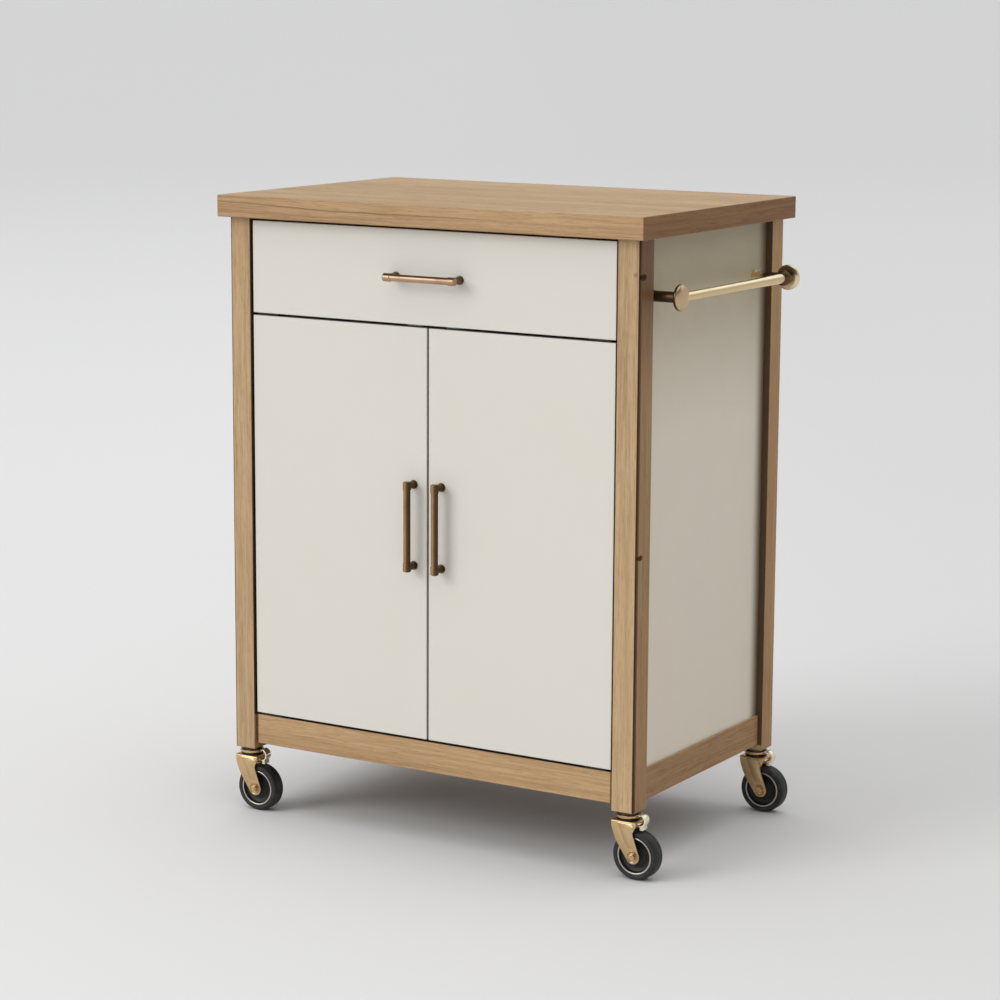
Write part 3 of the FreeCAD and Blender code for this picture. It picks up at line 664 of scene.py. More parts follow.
class Surface(Wiring):
    """A new material: one Principled shader, the object's coordinates and the colour so far."""

    def __init__(self, name, metallic=0.0, specular=0.5):
        self.material = bpy.data.materials.new(name)
        self.material.use_nodes = True
        super().__init__(self.material.node_tree)
        self.shader = self.tree.nodes["Principled BSDF"].inputs
        self.shader["Metallic"].default_value = metallic
        self.shader["Specular IOR Level"].default_value = specular
        self.coordinates = self.node("ShaderNodeTexCoord").outputs
        self.place = self.coordinates["Object"]

    def moved(self, shift, turn=ORIGIN):
        """The object's coordinates, turned and then shifted."""
        inputs = {"Vector": self.place, "Location": shift, "Rotation": turn}
        return self.node("ShaderNodeMapping", inputs).outputs[0]

    def spot(self, axis):
        """Where a point lies along one axis."""
        return self.parts(self.place)["XYZ".index(axis)]

    def facing(self, axis):
        """How squarely a point faces along one axis, with its sign."""
        return self.parts(self.coordinates["Normal"])["XYZ".index(axis)]

    def cover(self, group, vector, **inputs):
        """Starts from a shared group's colour, roughness and height."""
        self.layer = self.group(group, {"Vector": vector, **inputs})
        self.colour = self.layer["Color"]

    def stain(self, mask, colour, mode="MIX"):
        """Blends another colour over the one so far."""
        self.colour = self.blend(mask, self.colour, colour, mode)

    def finished(self, strength, distance):
        """The material, with its shader fed."""
        inputs = {"Height": self.layer["Height"], "Strength": strength, "Distance": distance}
        bump = self.node("ShaderNodeBump", inputs)
        self.feed(self.shader["Base Color"], self.colour)
        self.feed(self.shader["Roughness"], self.layer["Roughness"])
        self.feed(self.shader["Normal"], bump.outputs["Normal"])
        return self.material


def box_of(node):
    """Centre and half size of a CAD node's box."""
    low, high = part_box(node)
    return (low + high) / 2, (high - low) / 2


def scaled(numbers, factor):
    """A colour or a shift times a factor."""
    return [number * factor for number in numbers]


def set_material(node, material):
    """Gives a CAD node's object a material."""
    for slot in frame["nodes"][node].material_slots:
        slot.material = material


def finish_piece(piece, material, body, slot, *nodes):
    """Material and body of a new piece, and the CAD nodes that it stands for; the slot is not used."""
    piece.data.materials.clear()
    piece.data.materials.append(material)
    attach(piece, body)
    if nodes:
        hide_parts(*nodes)


# How squarely a face looks along an axis, from where it starts to count to where it counts fully
FACING = (0.6, 0.8)
SQUARE = FACING[0]


def sideways(surface):
    """One on the faces that look to the left or right."""
    return surface.spread(surface.math("ABSOLUTE", surface.facing("X")), *FACING)


def edge_wear(surface, node, width, strength):
    """A mask along the edges of a board's box, with a width and a strength."""
    centre, half = box_of(node)
    inputs = {"Vector": surface.place, "Centre": centre, "Half size": half}
    return surface.spread(surface.group("Board edge", inputs)["Distance"], 0.0, width, strength, 0.0)


# Oak

WOOD_SPECULAR = 0.4
OAK_BUMP = (0.25, 0.0004)
OAK_WEAR = (1.6 * MM, 0.35)
GRAIN_TURNS = {"x": (0, 0, 0), "y": (0, 0, -math.pi / 2), "z": (0, math.pi / 2, 0)}
GRAIN_SHIFT = (0.731, 0.0173, 0.0291)
WORKTOP_SEED = 1
STREAK_START = 7.5 * MM
STREAK_SINK = 6 * MM
STREAK_SINK_RUN = 0.23
STREAK_SWAY = 3 * MM
STREAK_WAVES = (14, 0, 0)
STREAK_WIDTH = (0.4 * MM, 1.5 * MM)
STREAK_FADE = (0.36, 0.56)
STREAK_STRENGTH = 0.72
POST_SEEDS = {"front_left": 4, "front_right": 7, "rear_left": 9, "rear_right": 12}
RAILS = {"front": ("x", 15), "rear": ("x", 18), "left": ("y", 21), "right": ("y", 24)}
# Painted shade: the darkened notch and joint lines stand for the shade inside them.
QUIRK_SIZE = 3.4 * MM
QUIRK_STRENGTH = 0.90
JOINT_LINE = (3.6 * MM, 5.0 * MM)
JOINT_STRENGTH = 0.85
# Painted shade: depths below the post's top where the shade under the worktop starts and where it is full.
UNDER_TOP_SHADE_SPAN = (0.23, 0.03)
REVEAL_STRENGTH = 0.93
# Knots of the right front post: inset from its right and front faces, height, radius and strength
KNOTS = (
    (0.0, 0.0075, 0.824, 0.0052, 0.95),
    (0.0, 0.0080, 0.448, 0.0044, 0.90),
    (0.008, 0.0, 0.827, 0.0036, 0.35),
)
KNOT_STRETCH = (1, 0.55, 1)
KNOT_CORE = 0.7
KNOT_SPECULAR = 0.05


def along_grain(surface, grain, seed):
    """Coordinates whose X runs along the grain, shifted for each board."""
    return surface.moved(scaled(GRAIN_SHIFT, seed), GRAIN_TURNS[grain])


def oak_board(finishes, node, grain, seed, side_face_shade):
    """Oiled oak for one board, with painted shade on the faces that look sideways, and darker edges."""
    oak = Surface(f"oak_{node}", specular=WOOD_SPECULAR)
    grained = along_grain(oak, grain, seed)
    if node == "worktop":
        end_grain = along_grain(oak, "y", seed + 1)
        grained = oak.blend(sideways(oak), grained, end_grain, kind="VECTOR")
    oak.cover(
        "Oak figure", grained,
        Light=finishes.oak_light, Dark=finishes.oak_dark, Pore=finishes.oak_pore,
    )
    # Painted shade on the faces that look left or right.
    oak.stain(sideways(oak), side_face_shade, "MULTIPLY")
    # Painted shade: upright faces darker and warmer than the top.
    if grain == "x":
        oak.stain(oak.spread(oak.facing("Z"), *FACING, 1.0, 0.0), finishes.oak_upright_shade, "MULTIPLY")
    oak.stain(edge_wear(oak, node, *OAK_WEAR), finishes.oak_pore)
    return oak


def dark_streak(oak, node):
    """A long dark line on a board's front face, which fades out towards the right."""
    low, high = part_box(node)
    run = oak.math("SUBTRACT", oak.spot("X"), low.x)
    depth = oak.math("SUBTRACT", high.z, oak.spot("Z"))
    wander = oak.stretched(oak.place, STREAK_WAVES)["Fac"]
    sink = oak.spread(run, 0.0, STREAK_SINK_RUN)
    line = oak.weigh((sink, STREAK_SINK), (wander, STREAK_SWAY), (1.0, STREAK_START))
    away = oak.math("ABSOLUTE", oak.math("SUBTRACT", depth, line))
    drawn = oak.spread(away, *STREAK_WIDTH, 1.0, 0.0)
    fade = oak.spread(run, *STREAK_FADE, STREAK_STRENGTH, 0.0)
    return oak.times(drawn, fade, oak.below(oak.facing("Y"), -SQUARE))


def joint_lines(oak, end):
    """Dark lines where the front or rear rail meets its two posts, painted as the shade in the small gaps
    there.
    """
    along = oak.spot("X")
    from_left = oak.math("SUBTRACT", along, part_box(f"post_{end}_left")[1].x)
    from_right = oak.math("SUBTRACT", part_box(f"post_{end}_right")[0].x, along)
    return oak.spread(oak.math("MINIMUM", from_left, from_right), *JOINT_LINE, JOINT_STRENGTH, 0.0)


def quirk_line(oak, x, y):
    """The small notch down a post's outer corner, darkened with painted shade."""
    away = oak.parts(oak.vector("ABSOLUTE", oak.vector("SUBTRACT", oak.place, (x, y, 0))))
    inside = oak.below(oak.math("MAXIMUM", away[0], away[1]), QUIRK_SIZE)
    return oak.times(inside, QUIRK_STRENGTH)


def reveal(oak, axis, sign, depth, level):
    """Painted shade in the gaps round the fronts: the faces that look one way along an axis, in front of a
    depth and above a level.
    """
    turned_in = oak.above(oak.times(oak.facing(axis), sign), SQUARE)
    in_front = oak.below(oak.spot("Y"), depth)
    above = oak.above(oak.spot("Z"), level - MM)
    return oak.times(turned_in, in_front, above, REVEAL_STRENGTH)


def add_knots(oak, corner, colour):
    """Small dark knots, which shine less than the wood round them."""
    knotted = 0.0
    for right, front, height, radius, strength in KNOTS:
        knot = (corner.x - right, corner.y + front, height)
        away = oak.vector("MULTIPLY", oak.vector("SUBTRACT", oak.place, knot), KNOT_STRETCH)
        dark = oak.spread(oak.length(away), radius * KNOT_CORE, radius, strength, 0.0)
        knotted = oak.math("MAXIMUM", knotted, dark)
    oak.stain(knotted, colour)
    specular = oak.spread(knotted, 0.0, 1.0, WOOD_SPECULAR, KNOT_SPECULAR)
    oak.feed(oak.shader["Specular IOR Level"], specular)


class CART_OT_oak_boards(bpy.types.Operator):
    """Give the worktop, posts and rails their oiled oak"""

    bl_idname = "cart.oak_boards"
    bl_label = "Oak boards"

    def execute(self, context):
        finishes = context.scene.cart_finishes
        worktop = oak_board(finishes, "worktop", "x", WORKTOP_SEED, finishes.oak_end_shade)
        worktop.stain(dark_streak(worktop, "worktop"), finishes.oak_pore)
        set_material("worktop", worktop.finished(*OAK_BUMP))
        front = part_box("door_left")[1].y
        rail_foot, rail_top = (corner.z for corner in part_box("rail_bottom_front"))
        for corner in CORNERS:
            self.set_post(finishes, corner, front, rail_foot, rail_top)
        for end, (grain, seed) in RAILS.items():
            node = f"rail_bottom_{end}"
            rail = oak_board(finishes, node, grain, seed, finishes.oak_side_shade)
            if grain == "x":
                rail.stain(joint_lines(rail, end), finishes.oak_groove_shade)
            # Painted shade on the rail's top inside the gap under the doors.
            rail.stain(reveal(rail, "Z", 1, front, rail_top), finishes.reveal)
            set_material(node, rail.finished(*OAK_BUMP))
        return {"FINISHED"}

    def set_post(self, finishes, corner, front, rail_foot, rail_top):
        """A post with its quirk, and painted shade where it faces the fronts or the side panel."""
        node = f"post_{corner}"
        low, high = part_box(node)
        end, side = corner.split("_")
        tint = finishes.oak_rear_side_shade if end == "rear" else finishes.oak_side_shade
        post = oak_board(finishes, node, "z", POST_SEEDS[corner], tint)
        # Painted shade: the front right post's side darkens towards the worktop above it.
        if corner == "front_right":
            span = [high.z - below for below in UNDER_TOP_SHADE_SPAN]
            under_top_shaded = post.times(sideways(post), post.spread(post.spot("Z"), *span))
            post.stain(under_top_shaded, finishes.oak_under_top_shade, "MULTIPLY")
        outer_x = high.x if side == "right" else low.x
        outer_y = high.y if end == "rear" else low.y
        post.stain(quirk_line(post, outer_x, outer_y), finishes.oak_groove_shade)
        if corner == "front_right":
            add_knots(post, Vector((high.x, low.y, 0)), finishes.oak_knot)
        # Painted shade on the rear posts' faces that look forward into the side panels' recess.
        if end == "rear":
            post.stain(reveal(post, "Y", -1, high.y, rail_foot), finishes.oak_shade)
        else:
            # Painted shade on the front posts' inner faces in the gaps beside the fronts.
            post.stain(reveal(post, "X", -SIDES[side], front, rail_top), finishes.reveal)
        set_material(node, post.finished(*OAK_BUMP))


# Painted boards

PAINT_SPECULAR = 0.45
PAINT_BUMP = (0.06, 0.0002)
PAINT_WEAR = (2.0 * MM, 0.22)
PAINT_SHIFT = (0.37, 0.11, 0)
FRONTS = ("drawer_front", "door_left", "door_right")
PANELS = ("side_panel_left", "side_panel_right", "back_panel")
INSIDE_BOARDS = ("cabinet_floor", "divider_panel", "shelf", "top_stretchers")
INSIDE_SEED = 9
# Which way along X the doors' meeting edges look, and how much of the painted shade is left on them
MEETING_EDGES = {"door_left": 1, "door_right": -1}
MEETING_FACING = (0.5, 0.8)
MEETING_DARK = 0.35
TOP_DARK = 0.6
# Painted shade on the fronts' edges: how squarely an edge looks sideways, and how dark it gets.
EDGE_FACING = (0.45, 0.65)
EDGE_DARK = 0.93
# Painted shade on the right side panel: depth of the shade under the worktop, and width and strength of the
# shade beside the rear post.
SHADE_HEIGHT = 0.30
CORNER_SHADE_WIDTH = 0.030
CORNER_SHADE_STRENGTH = 0.95


def paint_board(finishes, node, base, seed):
    """Satin paint for one board, a little darker along its edges."""
    paint = Surface(f"paint_{node}", specular=PAINT_SPECULAR)
    mapped = paint.moved(scaled(PAINT_SHIFT, seed))
    paint.cover("Satin paint", mapped, Base=base, Shade=finishes.paint_shade)
    paint.stain(edge_wear(paint, node, *PAINT_WEAR), finishes.birch_dark)
    return paint


def shaded_edges(paint, node):
    """Painted shade on the edges of a front, with less on those where the doors meet and on their tops."""
    dark = paint.spread(paint.math("ABSOLUTE", paint.facing("Y")), *EDGE_FACING, EDGE_DARK, 0.0)
    if node in MEETING_EDGES:
        inward = paint.times(paint.facing("X"), MEETING_EDGES[node])
        meeting = paint.spread(inward, *MEETING_FACING, 1.0, MEETING_DARK)
        top = paint.spread(paint.facing("Z"), *MEETING_FACING, 1.0, TOP_DARK)
        dark = paint.times(dark, meeting, top)
    return dark


class CART_OT_painted_boards(bpy.types.Operator):
    """Give the fronts, panels and inside boards their paint"""

    bl_idname = "cart.painted_boards"
    bl_label = "Painted boards"

    def execute(self, context):
        finishes = context.scene.cart_finishes
        for seed, node in enumerate(FRONTS + PANELS):
            base = finishes.side_paint if node.startswith("side_panel") else finishes.paint
            board = paint_board(finishes, node, base, seed)
            # Painted shade on the right side panel only.
            if node == "side_panel_right":
                self.shade_panel(finishes, board, node)
            # Painted shade on the fronts' edges, which lie in the dark gaps.
            if node in FRONTS:
                board.stain(shaded_edges(board, node), finishes.reveal)
            set_material(node, board.finished(*PAINT_BUMP))
        for seed, node in enumerate(INSIDE_BOARDS, INSIDE_SEED):
            board = paint_board(finishes, node, finishes.inner_paint, seed)
            if node == "cabinet_floor":
                underside = board.below(board.facing("Z"), -SQUARE)
                board.stain(underside, finishes.raw_board)
            set_material(node, board.finished(*PAINT_BUMP))
        return {"FINISHED"}

    def shade_panel(self, finishes, panel, node):
        """Painted shade: darker under the worktop, and brown beside the rear post."""
        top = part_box(node)[1].z
        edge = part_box("post_rear_left")[0].y
        under_top = panel.spread(panel.spot("Z"), top - SHADE_HEIGHT, top)
        panel.stain(under_top, finishes.side_shade, "MULTIPLY")
        by_post = panel.spread(panel.spot("Y"), edge - CORNER_SHADE_WIDTH, edge, 0.0, CORNER_SHADE_STRENGTH)
        panel.stain(by_post, finishes.side_corner_shade)


# Drawer box: the grain's direction, and the axis that the plies are stacked along

BIRCH_BOARDS = {
    "drawer_side_left": ("y", "X"),
    "drawer_side_right": ("y", "X"),
    "drawer_back": ("x", "Y"),
    "drawer_bottom": ("x", "Z"),
}
BIRCH_BUMP = (0.15, 0.0003)
BIRCH_SEED = 11
BIRCH_GRAIN = 0.86
BIRCH_PORE = 0.8
PLY_EDGE = 0.5
PLY_SCALE = 105.0
PLY_RANGE = (0.35, 0.8)
PLY_STRENGTH = 0.8


def birch_material(finishes, node, grain, ply_axis):
    """Birch plywood: pale faces, and dark glue lines where its edges show."""
    birch = Surface(f"birch_{node}", specular=WOOD_SPECULAR)
    light = finishes.birch_light
    birch.cover(
        "Oak figure", along_grain(birch, grain, BIRCH_SEED),
        Light=light, Dark=scaled(light, BIRCH_GRAIN), Pore=scaled(light, BIRCH_PORE),
    )
    on_edge = birch.below(birch.math("ABSOLUTE", birch.facing(ply_axis)), PLY_EDGE)
    layers = birch.node(
        "ShaderNodeTexWave", {"Vector": birch.place, "Scale": PLY_SCALE},
        wave_type="BANDS", bands_direction=ply_axis, wave_profile="SIN",
    ).outputs["Fac"]
    lines = birch.times(birch.spread(layers, *PLY_RANGE), on_edge, PLY_STRENGTH)
    birch.stain(lines, finishes.birch_dark)
    return birch.finished(*BIRCH_BUMP)


class CART_OT_drawer_box(bpy.types.Operator):
    """Give the drawer box its birch plywood"""

    bl_idname = "cart.drawer_box"
    bl_label = "Drawer box"

    def execute(self, context):
        for node, (grain, ply_axis) in BIRCH_BOARDS.items():
            set_material(node, birch_material(context.scene.cart_finishes, node, grain, ply_axis))
        return {"FINISHED"}


# Metalwork: bright and dull colour, direction of the brushing, and roughness

METALS = {
    "bronze_drawer_pull": ("copper", "copper_dull", "x", 0.38),
    "bronze_door_left_pull": ("bronze", "bronze_dull", "z", 0.38),
    "bronze_door_right_pull": ("bronze", "bronze_dull", "z", 0.38),
    "bronze_dark": ("dark_bronze", "dark_steel", "x", 0.28),
    "brass_along_y": ("brass", "brass_dull", "y", 0.10),
    "brass_knobs": ("knob_brass", "brass", "z", 0.24),
    "brass_fork": ("gold", "gold_dull", "z", 0.32),
    "brass_axle": ("gold", "gold_dull", "y", 0.16),
    "brass_lever": ("lever_brass", "brass", "y", 0.12),
    "stem_metal": ("gold", "gold_dull", "z", 0.20),
    "trim_steel": ("trim", "steel_dull", "x", 0.30),
    # Painted shade: black steel for parts that sit in dark gaps.
    "black_steel": ("dark_steel", "reveal", "x", 0.30),
    "zinc_along_x": ("steel", "steel_dull", "x", 0.16),
    "zinc_along_y": ("steel", "steel_dull", "y", 0.16),
    "screw_steel": ("steel", "steel_dull", "x", 0.16),
}
BRUSHES = {"x": (7, 520, 520), "y": (520, 7, 520), "z": (520, 520, 7)}
METAL_BUMP = (0.025, 0.0002)
FINE_BUMP = (0.006, 0.0002)
DUSTY_BUMP = (0.12, 0.0003)
DUSTY_SPECULAR = 0.4
PLAIN_METALS = {
    "drawer_runners": "zinc_along_y",
    "drawer_slides": "zinc_along_y",
    "door_left_strike": "zinc_along_x",
    "door_right_strike": "zinc_along_x",
    "shelf_pins": "zinc_along_x",
    # Painted shade: the pivot plates and bushes are black so that they vanish in the gaps.
    "door_pivot_plates": "black_steel",
    "door_left_bushes": "black_steel",
    "door_right_bushes": "black_steel",
}
# Which way each pull's painted shade faces, from where it starts to where it is full
PULL_SHADE = {
    "drawer_pull": ("Z", 0.40, 0.66),
    "door_left_pull": ("X", -0.15, 0.75),
    "door_right_pull": ("X", -0.15, 0.75),
}
PULL_SHADE_STRENGTH = 0.9
FOOT_SHADE_STRENGTH = 0.7
PULL_BAR = 8.8 * MM
BAR_SHADE = (0.25, 0.60)
BAR_SHADE_STRENGTH = 0.85
BARE_FOOT = (10 * MM, 20 * MM)
BARE_STRENGTH = 0.9
# Painted shade on the front cap's back edge and on the rear knob's upper half.
CAP_DARK_EDGE = 4.0 * MM
CAP_DARK_FADE = 1.5 * MM
CAP_DARK_STRENGTH = 0.95
KNOB_SHADE = (1 * MM, 7 * MM)
KNOB_SHADE_STRENGTH = 0.85


def brushed(finishes, name):
    """A metal surface with the colours and brushing that belong to its name."""
    bright, dull, brush, roughness = METALS[name]
    metal = Surface(name, metallic=1.0)
    metal.cover(
        "Brushed metal", metal.place, Brush=BRUSHES[brush], Roughness=roughness,
        Bright=getattr(finishes, bright), Dull=getattr(finishes, dull),
    )
    return metal


def plain_metal(finishes, name):
    """A metal with nothing on it, made the first time that it is asked for."""
    return bpy.data.materials.get(name) or brushed(finishes, name).finished(*METAL_BUMP)


def dusty_material(name, base, dust):
    """Rubber or plastic with thin dust."""
    skin = Surface(name, specular=DUSTY_SPECULAR)
    skin.cover("Dusty skin", skin.place, Base=base, Dust=dust)
    return skin.finished(*DUSTY_BUMP)


def pull_material(finishes, node):
    """Bronze of a pull, with painted shade on its feet and on the side that faces along an axis."""
    bronze = brushed(finishes, f"bronze_{node}")
    axis, start, full = PULL_SHADE[node]
    shaded_face = bronze.spread(bronze.facing(axis), start, full, 0.0, PULL_SHADE_STRENGTH)
    bar_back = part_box(node)[0].y + PULL_BAR
    foot = bronze.spread(bronze.spot("Y"), bar_back - MM, bar_back + MM, 0.0, FOOT_SHADE_STRENGTH)
    bronze.stain(bronze.math("MAXIMUM", shaded_face, foot), finishes.metal_shade)
    return bronze.finished(*METAL_BUMP)


def towel_bar_material(finishes):
    """Pale brass of the towel bar, with painted shade on its lower half; made the first time that it is
    asked for.
    """
    found = bpy.data.materials.get("brass_along_y")
    if found:
        return found
    brass = brushed(finishes, "brass_along_y")
    below = brass.spread(brass.facing("Z"), *BAR_SHADE, BAR_SHADE_STRENGTH, 0.0)
    brass.stain(below, finishes.brass_shade)
    return brass.finished(*METAL_BUMP)


def standoff_material(finishes):
    """Near-black bronze of the stand-offs, partly painted shade, with the rear one's foot left brass where
    it shows lit.
    """
    bronze = brushed(finishes, "bronze_dark")
    start, end = (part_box("towel_bar_standoffs")[0].x + length for length in BARE_FOOT)
    bare = bronze.spread(bronze.spot("X"), start, end, BARE_STRENGTH, 0.0)
    at_rear = bronze.above(bronze.spot("Y"), 0.0)
    bronze.stain(bronze.times(bare, at_rear), finishes.knob_brass)
    return bronze.finished(*METAL_BUMP)


def knob_material(finishes):
    """Brass of the towel bar's ends with painted shade: the front cap has a dark back edge, the rear knob a
    dark upper half.
    """
    brass = brushed(finishes, "brass_knobs")
    middle = box_of("towel_bar")[0]
    in_front = brass.below(brass.spot("Y"), 0.0)
    brass.stain(in_front, finishes.cap_brass)
    edge = middle.x - CAP_RIM * MM / 2 + CAP_DARK_EDGE
    at_back = brass.spread(brass.spot("X"), edge, edge + CAP_DARK_FADE, CAP_DARK_STRENGTH, 0.0)
    brass.stain(brass.times(at_back, in_front), finishes.metal_shade)
    start, full = (middle.z + height for height in KNOB_SHADE)
    upper = brass.spread(brass.spot("Z"), start, full, 0.0, KNOB_SHADE_STRENGTH)
    inward = brass.below(brass.facing("Y"), -FACING[1])
    at_rear = brass.math("SUBTRACT", 1.0, in_front)
    brass.stain(brass.times(upper, inward, at_rear), finishes.metal_shade)
    return brass.finished(*FINE_BUMP)


class CART_OT_metalwork(bpy.types.Operator):
    """Give the pulls, towel bar, slides, plates and catches their finish"""

    bl_idname = "cart.metalwork"
    bl_label = "Metalwork"

    def execute(self, context):
        finishes = context.scene.cart_finishes
        for node in PULL_SHADE:
            set_material(node, pull_material(finishes, node))
        set_material("towel_bar", towel_bar_material(finishes))
        set_material("towel_bar_standoffs", standoff_material(finishes))
        for node, metal in PLAIN_METALS.items():
            set_material(node, plain_metal(finishes, metal))
        catches = dusty_material("catch_plastic", finishes.plastic, finishes.paint_shade)
        set_material("door_catches", catches)
        return {"FINISHED"}


# Ends of the towel bar: radii, and heights above the back of each turned piece

CAP_RIM = 8.5
CAP_PROFILE = [
    (0, 0), (15.0, 0), (16.8, 0.5), (17.7, 1.5), (18.0, 3.0), (17.9, 4.4), (17.2, 6.1), (15.7, 7.7),
    (13.2, 9.2), (9.8, 10.4), (5.2, 11.2), (0, 11.5),
]
KNOB_THICKNESS = 11.0
KNOB_PROFILE = [
    (0, 0), (13.0, 0), (15.8, 0.6), (17.4, 1.8), (18.0, 3.6), (17.8, 5.2), (16.9, 6.8), (14.6, 8.5),
    (10.8, 9.9), (5.6, 10.7), (0, 11.0),
]
NECK_SPAN = (3.0, 21.0)


def rod(radius, start, end):
    """Profile of a plain round bar."""
    return [(0, start), (radius, start), (radius, end), (0, end)]


class CART_OT_towel_bar_ends(bpy.types.Operator):
    """Model the towel bar's domed ends and its neck in the front one"""

    bl_idname = "cart.towel_bar_ends"
    bl_label = "Towel bar ends"

    def execute(self, context):
        finishes = context.scene.cart_finishes
        low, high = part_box("towel_bar_knobs")
        middle, half = box_of("towel_bar")
        front = Vector((middle.x - CAP_RIM * MM / 2, low.y + box_of("towel_bar_knobs")[1].x, middle.z))
        rear = Vector((middle.x, high.y - KNOB_THICKNESS * MM, middle.z))
        cap = turned("towel_bar_cap", CAP_PROFILE, front, X_AXIS, Z_AXIS)
        knob = turned("towel_bar_knob", KNOB_PROFILE, rear, Y_AXIS, Z_AXIS)
        ends = join([cap, knob], "towel_bar_ends")
        finish_piece(ends, knob_material(finishes), "cart", "brass", "towel_bar_knobs")
        root = Vector((middle.x, front.y, middle.z))
        neck = turned("towel_bar_neck", rod(half.x / MM, *NECK_SPAN), root, Y_AXIS, Z_AXIS, steps=48)
        finish_piece(neck, towel_bar_material(finishes), "cart", "brass")
        return {"FINISHED"}


# Casters, modelled in millimetres about the king pin's axis and copied to the four corners

def king_pin(corner):
    """Where a caster's king pin stands."""
    x, y, _ = JOINTS[f"caster_{corner}_swivel"]["pos_m"]
    return Vector((x, y, 0))


def caster_box(piece):
    """Corners of one caster's CAD piece in millimetres, from its king pin and the floor."""
    low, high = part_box(f"caster_front_left_{piece}")
    middle = king_pin("front_left")
    return (low - middle) / MM, (high - middle) / MM


def set_casters(*rows):
    """Copies at the four king pins of pieces with their name, material, body, slot and CAD piece."""
    for corner in CORNERS:
        for source, name, material, body, slot, node in rows:
            piece = copy_of(source, f"{name}_{corner}", king_pin(corner))
            nodes = [f"caster_{corner}_{node}"] if node else []
            finish_piece(piece, material, f"{body}_{corner}", slot, *nodes)
    remove(*(row[0] for row in rows))


def at_corners(source, name):
    """Copies of a piece at the four king pins as one piece; the source is used up."""
    piece = join([copy_of(source, name, king_pin(corner)) for corner in CORNERS], name)
    remove(source)
    return piece


FORK_LOW, FORK_HIGH = caster_box("fork")
TYRE_LOW, TYRE_HIGH = caster_box("tyre")
CORE_HIGH = caster_box("core")[1]
LEVER_LOW, LEVER_HIGH = caster_box("brake")
WHEEL = (TYRE_LOW + TYRE_HIGH) / 2
WHEEL_CENTRE = WHEEL * MM
WHEEL_RADIUS = WHEEL.z
TYRE_SIDE = TYRE_HIGH.y
RIM_RADIUS = CORE_HIGH.z - WHEEL.z
HUB_SIDE = CORE_HIGH.y
SHEET = 2.5
CROWN_SHEET = 3.0
CHEEK_OUTER = FORK_HIGH.y
CHEEK_INNER = CHEEK_OUTER - SHEET
CROWN_TOP = FORK_HIGH.z
CROWN_BOTTOM = CROWN_TOP - CROWN_SHEET
CROWN_HALF = -FORK_LOW.x
TIP_RADIUS = WHEEL.z - FORK_LOW.z
AXLE_RADIUS = 3.0
KING_BORE = 5.2
FORK_BENDS = (2.2, 1.0)
# Where the fork's two blanks start and how long they are, along X and along Y
FORK_BLANK = (-22.0, 50)
CHEEK_BLANK = (-20.0, 40)
LEVER_HALF_WIDTH = LEVER_HIGH.y
LEVER_SHEET = 2.2
LEVER_CURL = 7.8
LEVER_HUB = 3.6
SHOE_SPAN = (20, 26)
LEVER_JOINT = JOINTS["brake_front_left_lever"]["pos_m"]
LEVER_PIN = ((LEVER_JOINT[0] - king_pin("front_left").x) / MM, LEVER_JOINT[2] / MM)
# How far a cutting shape stands past what it cuts
SPARE = 2


def turned_wheel(name, profile, steps):
    """A piece turned about the wheel's axle."""
    return turned(name, profile, WHEEL_CENTRE, Y_AXIS, steps=steps)


def fork_section():
    """Outline (y, z) of the fork's bent sheet, seen along X."""
    low = FORK_LOW.z - SPARE
    outer, inner = FORK_BENDS
    points = [(-CHEEK_OUTER, low)]
    points += arc((-CHEEK_OUTER + outer, CROWN_TOP - outer), outer, 180, 90, steps=5)
    points += arc((CHEEK_OUTER - outer, CROWN_TOP - outer), outer, 90, 0, steps=5)
    points += [(CHEEK_OUTER, low), (CHEEK_INNER, low)]
    points += arc((CHEEK_INNER - inner, CROWN_BOTTOM - inner), inner, 0, 90, steps=3)
    points += arc((-CHEEK_INNER + inner, CROWN_BOTTOM - inner), inner, 90, 180, steps=3)
    points += [(-CHEEK_INNER, low)]
    return points


def fork_side():
    """Outline (x, z) of the fork seen along Y: crown, knee, rounded tip and waist."""
    tip = (WHEEL.x, WHEEL.z)
    knee = (-12.0, CROWN_BOTTOM - 24)
    waist = (13.0, CROWN_BOTTOM - 12)
    shoulder = CROWN_BOTTOM - 6
    above = CROWN_TOP + 1
    start = touch_angle(knee, tip, TIP_RADIUS, 1)
    end = touch_angle(waist, tip, TIP_RADIUS, -1) + 360
    round_tip = arc(tip, TIP_RADIUS, start, end, steps=16)
    back = [(-CROWN_HALF, above), (-CROWN_HALF, shoulder, 6), (*knee, 9), round_tip[0]]
    front = [round_tip[-1], (*waist, 6), (CROWN_HALF, shoulder, 4), (CROWN_HALF, above)]
    return rounded(back)[:-1] + round_tip + rounded(front)[1:]


def fork_rib(sizes):
    """The panel pressed out of one cheek, with a fold from the crown down to the axle."""
    top = CROWN_TOP - 2.4
    corners = [(-9.0, top), (-9.0, top, 1), (15.0, top, 2), (10.8, 67.5, 4), (18.4, 47.5, 2)]
    corners += [(8.5, 45.5, 3), (2.8, 52.5, 3), (-9.0, top)]
    outline = rounded(corners, steps=3)[1:-1]
    sunk = 0.3
    rib = slab("fork_rib", in_xz(outline, CHEEK_OUTER - sunk), Y_AXIS * (sunk * MM))
    edit(rib)
    select_faces(rib, lambda normal: normal.y > 0.9)
    bpy.ops.mesh.inset(thickness=1.0 * MM, depth=sizes.rib_height)
    rest()
    smooth(rib, 50)
    return rib


